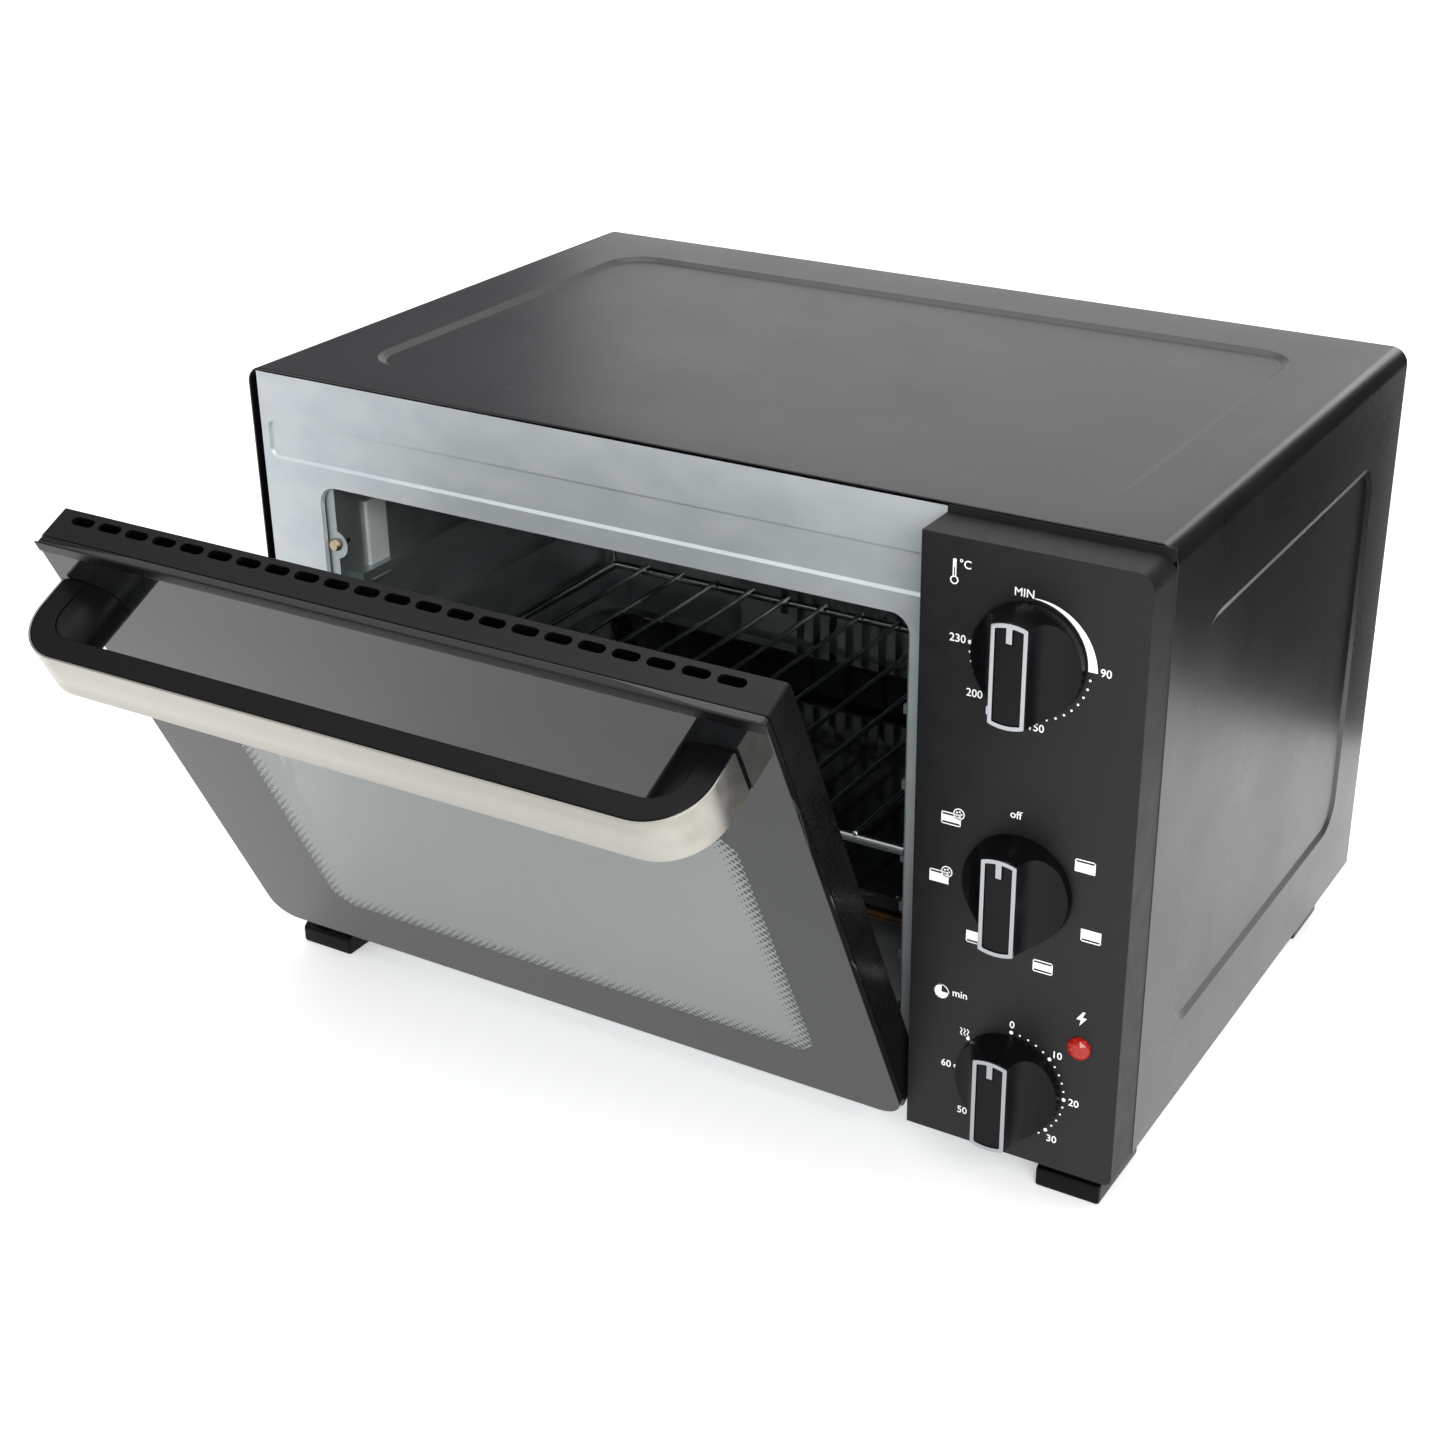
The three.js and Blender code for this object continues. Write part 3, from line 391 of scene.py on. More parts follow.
def add_piece(name, bm, place, material, body, replaced=(), smooth=True, sheet=0.0):
    bmesh.ops.remove_doubles(bm, verts=bm.verts, dist=MERGE_MM)
    bmesh.ops.recalc_face_normals(bm, faces=bm.faces)
    bmesh.ops.transform(bm, matrix=place, verts=bm.verts)
    mesh = bpy.data.meshes.new(name)
    for face in bm.faces:
        face.smooth = smooth
    for edge in bm.edges:
        edge.smooth = not edge.is_manifold or edge.calc_face_angle(0) < SHARP
    bm.to_mesh(mesh)
    bm.free()
    mesh.materials.append(material)
    piece = bpy.data.objects.new(name, mesh)
    bpy.context.scene.collection.objects.link(piece)
    if sheet:
        wall = piece.modifiers.new("sheet", "SOLIDIFY")
        wall.thickness = sheet * MM
        wall.offset = -1.0
    shading = piece.modifiers.new("flat_faces_stay_flat", "WEIGHTED_NORMAL")
    shading.keep_sharp = True
    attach(piece, body)
    if replaced:
        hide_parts(*replaced)
    return piece


def bevel_edges(bm, edges, width, segments=2):
    if edges:
        bmesh.ops.bevel(
            bm,
            geom=list(edges),
            offset=width,
            offset_type="OFFSET",
            affect="EDGES",
            segments=segments,
            profile=0.5,
            material=-1,
            clamp_overlap=True,
        )


def sharp_edges(bm, angle=SHARP):
    return [e for e in bm.edges if e.is_manifold and e.calc_face_angle(0) > angle]


def soften(node, width, material):
    """A copy of a frame part with small round edges, which stands for it."""
    source = frame["nodes"][node]
    bm = bmesh.new()
    bm.from_mesh(source.data)
    bmesh.ops.remove_doubles(bm, verts=bm.verts, dist=2e-6)
    bmesh.ops.dissolve_limit(
        bm, angle_limit=math.radians(0.5), verts=bm.verts, edges=bm.edges, delimit=set()
    )
    bevel_edges(bm, sharp_edges(bm), width * MM)
    bmesh.ops.transform(bm, matrix=Matrix.Scale(1000, 4), verts=bm.verts)
    return add_piece(node + "_finished", bm, SCALE, material, source["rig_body"], (node,))


def keep(node, material):
    """A part of the frame that is right as it is and only needs its finish."""
    data = frame["nodes"][node].data
    data.materials.clear()
    data.materials.append(material)


def add_rod(bm, start, end, radius, sides=12):
    start, end = Vector(start), Vector(end)
    run = end - start
    turn = run.to_track_quat("Z", "Y").to_matrix().to_4x4()
    bmesh.ops.create_cone(
        bm,
        cap_ends=True,
        segments=sides,
        radius1=radius,
        radius2=radius,
        depth=run.length,
        matrix=Matrix.Translation((start + end) / 2) @ turn,
    )


def add_block(bm, low, high, round_edges=0.0):
    low, high = Vector(low), Vector(high)
    made = bmesh.ops.create_cube(bm, size=1.0)["verts"]
    bmesh.ops.scale(bm, vec=high - low, verts=made)
    bmesh.ops.translate(bm, vec=(low + high) / 2, verts=made)
    if round_edges:
        edges = {e for v in made for e in v.link_edges}
        bevel_edges(bm, edges, round_edges)


def round_corner(bm, vert, radius, segments=8):
    bmesh.ops.bevel(
        bm,
        geom=[vert],
        offset=radius,
        offset_type="OFFSET",
        affect="VERTICES",
        segments=segments,
        profile=0.5,
        material=-1,
        clamp_overlap=True,
    )


def outline_face(bm, corners, radii):
    """A flat face with a round corner at each given point, made by bevelling its vertices."""
    verts = [bm.verts.new(c) for c in corners]
    bm.faces.new(verts)
    for vert, radius in zip(verts, radii):
        round_corner(bm, vert, radius)


def sweep_edge(bm, edge, moves):
    """Draws a wall behind an edge that goes straight, then turns round a centre, and so on."""
    for move in moves:
        if move[0] == "straight":
            made = bmesh.ops.extrude_edge_only(bm, edges=[edge])["geom"]
            verts = [g for g in made if isinstance(g, bmesh.types.BMVert)]
            bmesh.ops.translate(bm, vec=move[1], verts=verts)
        else:
            made = bmesh.ops.spin(
                bm,
                geom=[edge, *edge.verts],
                cent=move[1],
                axis=move[2],
                dvec=(0, 0, 0),
                angle=move[3],
                steps=move[4],
                use_duplicate=False,
            )["geom_last"]
        edge = next(g for g in made if isinstance(g, bmesh.types.BMEdge))


print("helpers ready")

# %% [markdown]
# The cover is one sheet folded over the top. An edge as long as the oven is deep is swept up one
# side, round a 9 mm bend, across and down. Three fields are then pressed into the flat faces:
# each face is inset, its inner corners moved to the field's corners and rounded, and the field
# sunk with a sloping wall. Its edges get a soft bevel, as a press tool leaves.

# %% Folded cover with pressed fields
WIDTH = 500.0
DEPTH = (cover_high.y - cover_low.y) / MM
HEIGHT = 303.0
BEND = 9.0
COVER_SHEET = 1.2
FIELD = {"slope": 4, "soft": 1.2}
TOP_FIELD = {"x": (-206, 206), "y": (35, 281), "radius": 22, "depth": 2.0}
SIDE_FIELD = {"y": (41, 280), "z": (43, 254), "radius": 18, "depth": 1.5}


def press_field(bm, face, corners, radius, slope, rise, soft):
    bmesh.ops.inset_individual(bm, faces=[face], thickness=slope * 2, depth=0)
    for vert in face.verts:
        vert.co = min(corners, key=lambda c: (Vector(c) - vert.co).length)
    for vert in list(face.verts):
        round_corner(bm, vert, radius)
    bm.faces.ensure_lookup_table()
    centre = sum((Vector(c) for c in corners), Vector()) / len(corners)
    field = min(bm.faces, key=lambda f: (f.calc_center_median() - centre).length)
    normal = field.normal.copy()
    foot = list(field.edges)
    bmesh.ops.inset_individual(bm, faces=[field], thickness=slope, depth=rise)
    bevel_edges(bm, foot + list(field.edges), soft, 3)
    centre += normal * rise
    return min(bm.faces, key=lambda f: (f.calc_center_median() - centre).length)


def folded_cover():
    bm = bmesh.new()
    side = WIDTH / 2
    start = bm.edges.new([bm.verts.new((-side, 0, 0)), bm.verts.new((-side, DEPTH, 0))])
    sweep_edge(
        bm,
        start,
        [
            ("straight", (0, 0, HEIGHT - BEND)),
            ("turn", (-side + BEND, 0, HEIGHT - BEND), (0, 1, 0), QUARTER, 10),
            ("straight", (WIDTH - 2 * BEND, 0, 0)),
            ("turn", (side - BEND, 0, HEIGHT - BEND), (0, 1, 0), QUARTER, 10),
            ("straight", (0, 0, -(HEIGHT - BEND))),
        ],
    )
    bmesh.ops.recalc_face_normals(bm, faces=bm.faces)
    bm.normal_update()
    top = next(f for f in bm.faces if abs(f.normal.z) > 0.99 and f.calc_area() > 1e5)
    if top.normal.z < 0:
        bmesh.ops.reverse_faces(bm, faces=bm.faces)
    sides = [f for f in bm.faces if abs(f.normal.x) > 0.99 and f.calc_area() > 5e4]
    field = [(x, y, HEIGHT) for x in TOP_FIELD["x"] for y in TOP_FIELD["y"]]
    press_field(
        bm, top, field, TOP_FIELD["radius"], FIELD["slope"], -TOP_FIELD["depth"], FIELD["soft"]
    )
    for face in sides:
        x = face.calc_center_median().x
        field = [(x, y, z) for y in SIDE_FIELD["y"] for z in SIDE_FIELD["z"]]
        press_field(
            bm, face, field, SIDE_FIELD["radius"], FIELD["slope"], -SIDE_FIELD["depth"], FIELD["soft"]
        )
    return bm


cover = add_piece(
    "cover_sheet", folded_cover(), CASING, cover_paint, "oven_body",
    ("outer_cover",), sheet=COVER_SHEET,
)
print("cover faces:", len(cover.data.polygons))

# %% [markdown]
# Casing parts that only need round edges: the moulded panel, the feet, the gland and the sheets
# round the back. Each is a softened copy, with the edge radius its process leaves: about 1 mm on
# a moulding and a few tenths on sheet.

# %% Softened casing parts
soften("control_panel", 1.0, panel_abs)
for foot in ("foot_front_left", "foot_front_right", "foot_rear_left", "foot_rear_right"):
    soften(foot, 1.6, foot_plastic)
soften("cord_gland", 0.6, foot_plastic)
soften("cavity_wall_left", 0.5, liner_steel)
soften("cavity_wall_right", 0.5, liner_steel)
for node in ("base_plate", "bay_shield"):
    keep(node, galvanised)
for node in ("back_panel", "cavity_top", "cavity_floor", "cavity_back", "fan_cover"):
    keep(node, liner_steel)
print("casing parts softened")

# %% [markdown]
# The front plate is pressed from galvanised sheet. It starts as one rectangle, bisected where the
# band above the mouth begins, so that the channel can be pressed into the band and the mouth
# opened below it. The mouth's rim is turned back into the oven, which stiffens it, and it sits low
# enough for the crumb tray to slide over it. A dark plate over the sheet above the panel is painted
# shade: it stands for the shadowed gap between the panel's top and the cover.

# %% Front plate
PLATE = {"x": 244.5, "low": 2.8, "high": 301.0, "band": 250.0}
CHANNEL = {"x": (-240, 148), "z": (256, 277), "radius": 5, "slope": 1.5, "depth": 1.2}
MOUTH = {"left": -210.0, "right": 127.6, "low": 12.6, "high": 246.0, "radius": 10.0}


def front_plate():
    bm = bmesh.new()
    x = PLATE["x"]
    verts = [bm.verts.new((u, 0, v)) for u, v in (
        (-x, PLATE["low"]), (x, PLATE["low"]), (x, PLATE["high"]), (-x, PLATE["high"])
    )]
    bm.faces.new(verts)
    bmesh.ops.bisect_plane(
        bm, geom=bm.faces[:] + bm.edges[:] + bm.verts[:], plane_co=(0, 0, PLATE["band"]),
        plane_no=(0, 0, 1),
    )
    bm.normal_update()
    band = max(bm.faces, key=lambda f: f.calc_center_median().z)
    lower = min(bm.faces, key=lambda f: f.calc_center_median().z)
    channel = [(u, 0, v) for u in CHANNEL["x"] for v in CHANNEL["z"]]
    press_field(bm, band, channel, CHANNEL["radius"], CHANNEL["slope"], -CHANNEL["depth"], 0.5)
    mouth = [(u, 0, v) for u in (MOUTH["left"], MOUTH["right"]) for v in (MOUTH["low"], MOUTH["high"])]
    opened = press_field(bm, lower, mouth, MOUTH["radius"], 0.9, -2.0, 0.4)
    bmesh.ops.delete(bm, geom=[opened], context="FACES_ONLY")
    return bm


# Painted shade: a dark block over the plate where the gap above the panel lies in shadow.
PANEL_GAP_PAINTED_SHADE = ((144.6, -0.8, 296.0), (249.0, -0.1, 302.0))
bm = bmesh.new()
add_block(bm, *PANEL_GAP_PAINTED_SHADE, 0.2)
add_piece("panel_gap_painted_shade", bm, CASING, panel_abs, "oven_body")
plate = add_piece(
    "front_plate_pressed", front_plate(), CASING, galvanised, "oven_body",
    ("front_plate",),
)
print("front plate faces:", len(plate.data.polygons))

# %% [markdown]
# The mouth shows the left wall's pressed pad and its screw. The pad is a low block with generous
# edges, laid on the wall; its pale base colour is a painted highlight for the light it catches.
# The screw is yellow passivated.

# %% Wall pad and liner screw
# Painted highlight: the pad's pale base colour stands in for the light its rounded face catches.
pad_painted_highlight, shader = new_finish("pad_painted_highlight_finish", "#e3e7e7", 0.3, 0.3)
set_grain(pad_painted_highlight, shader, 1.2, 0.006, (0.26, 0.36))
WALL_PAD = ((-203.4, 24, 187), (-200.6, 40, 231))
bm = bmesh.new()
add_block(bm, *WALL_PAD, 1.3)
add_piece("wall_pad", bm, CASING, pad_painted_highlight, "oven_body")
soften("liner_screw_left", 0.25, brass)
print("liner detail ready")

# %% [markdown]
# Heating loops. The real element is a steel tube bent flat into a U. A small circle is swept along
# it: straight, a quarter turn, straight, a quarter turn, straight.

# %% Heating loops
ELEMENT = {"radius": 3.3, "left": -185.0, "right": 138.5, "bend": 22.0}


def heating_loop(front, back, z):
    bm = bmesh.new()
    bend = ELEMENT["bend"]
    run = ELEMENT["right"] - ELEMENT["left"] - bend
    turn = Matrix.Translation((ELEMENT["right"], front, z)) @ Matrix.Rotation(QUARTER, 4, "Y")
    ring = bmesh.ops.create_circle(
        bm, cap_ends=True, segments=14, radius=ELEMENT["radius"], matrix=turn
    )["verts"]
    geom = list({f for v in ring for f in v.link_faces})
    x = ELEMENT["left"] + bend
    for move in (
        (-run, 0),
        ("turn", (x, front + bend, z)),
        (0, back - front - 2 * bend),
        ("turn", (x, back - bend, z)),
        (run, 0),
    ):
        if move[0] == "turn":
            geom = bmesh.ops.spin(
                bm, geom=geom, cent=move[1], axis=(0, 0, -1), dvec=(0, 0, 0),
                angle=QUARTER, steps=8, use_duplicate=False,
            )["geom_last"]
        else:
            geom = bmesh.ops.extrude_face_region(bm, geom=geom)["geom"]
            verts = [g for g in geom if isinstance(g, bmesh.types.BMVert)]
            bmesh.ops.translate(bm, vec=(move[0], move[1], 0), verts=verts)
        geom = [g for g in geom if isinstance(g, bmesh.types.BMFace)]
    return bm


for name, front, back, z in (("upper", 50, 210, 236), ("lower", 58, 200, 51)):
    add_piece(
        f"heating_loop_{name}", heating_loop(front, back, z), CASING, sheath, "oven_body",
        (f"heater_{name}",),
    )
for node in ("heater_terminal_upper", "heater_terminal_lower", "selector_switch"):
    keep(node, ceramic)
print("heating loops ready")

# %% [markdown]
# The rack is welded from round wire: two rails, two cross bars, twelve thin wires and a pair of
# upturned stops. The wires' ends sit on the front bar as small beads.

# %% Wire rack
RACK = {"front": 10.0, "back": 243.0, "left": -198.5, "right": 121.0, "z": 121.0, "wires": 12}
ROD = {"rail": 2.5, "stop": 2.0, "wire": 1.5, "bead": 1.9}
STOP_HEIGHT = 13
WIRE_LIFT = 2.5


def wire_rack():
    bm = bmesh.new()
    left, right, z = RACK["left"], RACK["right"], RACK["z"]
    for x in (left, right):
        add_rod(bm, (x, RACK["front"], z), (x, RACK["back"], z), ROD["rail"])
        add_rod(bm, (x, RACK["back"], z), (x, RACK["back"], z + STOP_HEIGHT), ROD["stop"])
    for y in (RACK["front"], RACK["back"]):
        add_rod(bm, (left - 1.5, y, z), (right + 1.5, y, z), ROD["rail"])
    for i in range(1, RACK["wires"] + 1):
        x = left + (right - left) * i / (RACK["wires"] + 1)
        end = (x, RACK["front"], z + WIRE_LIFT)
        add_rod(bm, end, (x, RACK["back"] + 1, z + WIRE_LIFT), ROD["wire"], 10)
        bmesh.ops.create_icosphere(
            bm, subdivisions=2, radius=ROD["bead"], matrix=Matrix.Translation(end)
        )
    return bm


add_piece("rack_wires", wire_rack(), CASING, wire_plate, "rack", ("wire_rack",))
soften("baking_tray", 0.4, enamel)
soften("crumb_tray", 0.3, galvanised)
print("rack and trays ready")

# %% [markdown]
# The door. Its pane is an outline with 14 mm lower corners, given its thickness and a small
# arris. The frame keeps its shape and gets soft edges, the inner pane stays as it is, and the
# frame's top edge is folded over the outer pane as a narrow lip.

# %% Door panes and frame
DOOR_BOX = {"left": -247.0, "right": 143.3, "height": 293.5, "glass": 4.0}
PANE_RADII = (14, 14, 3, 3)
PANE_ARRIS = 0.5


def outer_pane():
    bm = bmesh.new()
    left, right, height = DOOR_BOX["left"], DOOR_BOX["right"], DOOR_BOX["height"]
    corners = [(left, 0, 0), (right, 0, 0), (right, 0, height), (left, 0, height)]
    outline_face(bm, corners, PANE_RADII)
    made = bmesh.ops.extrude_face_region(bm, geom=bm.faces[:])["geom"]
    verts = [g for g in made if isinstance(g, bmesh.types.BMVert)]
    bmesh.ops.translate(bm, vec=(0, DOOR_BOX["glass"], 0), verts=verts)
    bmesh.ops.recalc_face_normals(bm, faces=bm.faces)
    bevel_edges(bm, sharp_edges(bm, CORNER), PANE_ARRIS)
    return bm


add_piece(
    "door_pane", outer_pane(), DOOR, door_glass, "door", ("door_glass_outer",)
)
soften("door_frame", 0.4, frame_paint)
TOP_LIP = ((DOOR_BOX["left"], -0.7, 287.6), (DOOR_BOX["right"], 0.1, DOOR_BOX["height"]))
bm = bmesh.new()
add_block(bm, *TOP_LIP, 0.3)
add_piece("door_top_lip", bm, DOOR, frame_paint, "door")
keep("door_glass_inner", inner_glass)
print("door panes ready")

# %% [markdown]
# The handle is a moulded bow with a steel strip bent round it. Both are the same swept edge, one
# inside the other: out from the door, round a 28 mm bend, along and back. Thickness comes from
# solidify, which keeps the inner bend parallel to the outer one. The inner side of each arm
# swells towards the middle of its height, which is half of an elliptic bar run out to the front.

# %% Handle
HANDLE = {"left": -242.0, "right": 124.5, "low": 244.5, "high": 271.0, "reach": 45.5, "bend": 28.0}
BOW = {"inset": 1.3, "root": -0.3, "thickness": 12.0, "edge": 0.8}
STRIP = {"rise": 1.4, "root": -1.2, "thickness": 1.0, "edge": 0.2}


def bow_wall(inset, low, high, root):
    bm = bmesh.new()
    left, right = HANDLE["left"] + inset, HANDLE["right"] - inset
    reach, bend = HANDLE["reach"] - inset, HANDLE["bend"] - inset
    start = bm.edges.new([bm.verts.new((left, root, low)), bm.verts.new((left, root, high))])
    sweep_edge(
        bm,
        start,
        [
            ("straight", (0, -(reach - bend) - root, 0)),
            ("turn", (left + bend, -(reach - bend), 0), (0, 0, 1), QUARTER, 14),
            ("straight", (right - left - 2 * bend, 0, 0)),
            ("turn", (right - bend, -(reach - bend), 0), (0, 0, 1), QUARTER, 14),
            ("straight", (0, (reach - bend) + root, 0)),
        ],
    )
    bmesh.ops.remove_doubles(bm, verts=bm.verts, dist=MERGE_MM)
    bmesh.ops.recalc_face_normals(bm, faces=bm.faces)
    bm.normal_update()
    front = min(bm.faces, key=lambda f: f.calc_center_median().y)
    if front.normal.y > 0:
        bmesh.ops.reverse_faces(bm, faces=bm.faces)
    return bm


def thicken(bm, thickness, edge):
    bmesh.ops.solidify(bm, geom=bm.faces[:], thickness=thickness)
    bmesh.ops.recalc_face_normals(bm, faces=bm.faces)
    bevel_edges(bm, sharp_edges(bm, CORNER), edge, 4)
    return bm


ARM = {"rim": 12.9, "swell": 19.0, "half_height": 12.4, "length": 34.0, "sides": 48}


def arm_swell(x, inward):
    bm = bmesh.new()
    add_rod(bm, (0, BOW["root"], 0), (0, -ARM["length"], 0), 1.0, ARM["sides"])
    bmesh.ops.bisect_plane(
        bm, geom=bm.verts[:] + bm.edges[:] + bm.faces[:], plane_co=(0, 0, 0),
        plane_no=(-inward, 0, 0), clear_outer=True,
    )
    bmesh.ops.holes_fill(bm, edges=[e for e in bm.edges if e.is_boundary])
    bmesh.ops.scale(bm, vec=(ARM["swell"], 1, ARM["half_height"]), verts=bm.verts)
    middle = (HANDLE["low"] + HANDLE["high"]) / 2
    bmesh.ops.translate(bm, vec=(x, 0, middle), verts=bm.verts)
    return bm


bow = thicken(
    bow_wall(BOW["inset"], HANDLE["low"], HANDLE["high"], BOW["root"]), BOW["thickness"], BOW["edge"]
)
strip = thicken(
    bow_wall(0.0, HANDLE["low"] + STRIP["rise"], HANDLE["high"], STRIP["root"]),
    STRIP["thickness"], STRIP["edge"],
)
add_piece("handle_moulding", bow, DOOR, knob_plastic, "door", ("handle_bow",))
add_piece(
    "handle_steel_strip", strip, DOOR, brushed, "door", ("handle_strip",)
)
for side, x in (("left", HANDLE["left"] + ARM["rim"]), ("right", HANDLE["right"] - ARM["rim"])):
    swell = arm_swell(x, 1 if side == "left" else -1)
    add_piece(f"handle_arm_{side}", swell, DOOR, knob_plastic, "door")
    for part in ("glass_clip", "handle_screw", "hinge_pin", "hinge_bracket", "door_spring"):
        keep(f"{part}_{side}", zinc)
print("handle ready")

# %% [markdown]
# Knobs keep the frame's scooped shape with soft edges, and their trims are chromed.

# %% Knobs
for name in ("thermostat", "selector", "timer"):
    soften(f"{name}_knob", 0.35, knob_plastic)
    soften(f"{name}_trim", 0.3, chrome)
    keep(f"{name}_shaft", zinc)
for node in ("fan_motor", "fan_blade", "fan_shaft", "thermostat", "timer", "timer_bell"):
    keep(node, zinc)
keep("thermostat_bulb", zinc)
keep("lamp_holder", knob_plastic)
print("knobs ready")

# %% [markdown]
# The scales are screen printed on the panel: text from the built-in font, and dots, arcs and
# pictograms from bmesh shapes. Each is a thin plate standing a tenth of a millimetre proud. All
# are drawn looking at the panel, with u to the right and v up.

# %% Panel print
PANEL_FACE = -24.85
INK = 0.12
KNOB_X = 196.7
THERMOSTAT_Z = 250.6
TIMER_Z = 36.2
SMALL_DOT = 0.55
THERMOSTAT_DOTS = 28
TIMER_DOTS = 27.5
DOT_STEP = 9
THERMOMETER = (160.4, 278.9)
CLOCK = (160.8, 74.5)
CLOCK_RADIUS = 3.9
STEAM = (171.4, 56.3)


def add_plate(bm, face):
    made = bmesh.ops.extrude_face_region(bm, geom=[face])["geom"]
    verts = [g for g in made if isinstance(g, bmesh.types.BMVert)]
    bmesh.ops.translate(bm, vec=(0, -INK, 0), verts=verts)


def add_polygon(bm, points):
    add_plate(bm, bm.faces.new([bm.verts.new((u, PANEL_FACE, v)) for u, v in points]))


def add_dot(bm, u, v, radius, sides=16):
    turn = Matrix.Translation((u, PANEL_FACE, v)) @ Matrix.Rotation(QUARTER, 4, "X")
    ring = bmesh.ops.create_circle(bm, cap_ends=True, segments=sides, radius=radius, matrix=turn)
    add_plate(bm, ring["verts"][0].link_faces[0])


def dial_point(z, radius, clockwise):
    angle = math.radians(clockwise)
    return KNOB_X + radius * math.sin(angle), z + radius * math.cos(angle)


def add_arc(bm, z, inner, outer, first, last, steps=24):
    """A band whose two radii change evenly from one end to the other."""
    turns = [first + (last - first) * i / steps for i in range(steps + 1)]
    shares = [i / steps for i in range(steps + 1)]
    rims = [
        [dial_point(z, a + (b - a) * s, t) for s, t in zip(shares, turns)] for a, b in (inner, outer)
    ]
    for i in range(steps):
        add_polygon(bm, [rims[0][i], rims[0][i + 1], rims[1][i + 1], rims[1][i]])


def add_ring(bm, u, v, inner, outer, steps=20):
    for i in range(steps):
        a, b = (2 * math.pi * k / steps for k in (i, i + 1))
        add_polygon(bm, [
            (u + r * math.cos(t), v + r * math.sin(t))
            for r, t in ((inner, a), (inner, b), (outer, b), (outer, a))
        ])


def add_text(bm, words, u, v, height=3.8):
    curve = bpy.data.curves.new("words", "FONT")
    curve.body = words
    curve.size = height / 0.72
    curve.align_x = "CENTER"
    curve.align_y = "CENTER"
    curve.extrude = INK / 2
    curve.offset = 0.03
    curve.resolution_u = 3
    holder = bpy.data.objects.new("words", curve)
    bpy.context.scene.collection.objects.link(holder)
    bpy.context.view_layer.update()
    mesh = bpy.data.meshes.new_from_object(holder)
    bpy.data.objects.remove(holder)
    mesh.transform(
        Matrix.Translation((u, PANEL_FACE - INK / 2, v)) @ Matrix.Rotation(QUARTER, 4, "X")
    )
    bm.from_mesh(mesh)
    bpy.data.meshes.remove(mesh)


def add_oven_sign(bm, u, v, top, bottom, fan):
    """A white oven pictogram, with a dark line where an element heats and a fan wheel."""
    w, h, line = 4.8, 3.1, 0.75
    low = v - h + (2 * line if bottom else 0)
    high = v + h - (2 * line if top else 0)
    add_polygon(bm, [(u - w, low), (u + w, low), (u + w, high), (u - w, high)])
    for shown, z in ((top, v + h), (bottom, v - h)):
        if shown:
            inward = -0.5 if z > v else 0.5
            add_polygon(bm, [(u - w, z), (u + w, z), (u + w, z + inward), (u - w, z + inward)])
            for x in (u - w, u + w - 0.5):
                add_polygon(bm, [(x, z), (x + 0.5, z), (x + 0.5, z + 3 * inward), (x, z + 3 * inward)])
    if fan:
        add_ring(bm, u + 3.8, v + 3.3, 2.3, 2.8)
        for k in range(5):
            a = 2 * math.pi * k / 5
            add_dot(bm, u + 3.8 + 1.2 * math.cos(a), v + 3.3 + 1.2 * math.sin(a), 0.5, 8)


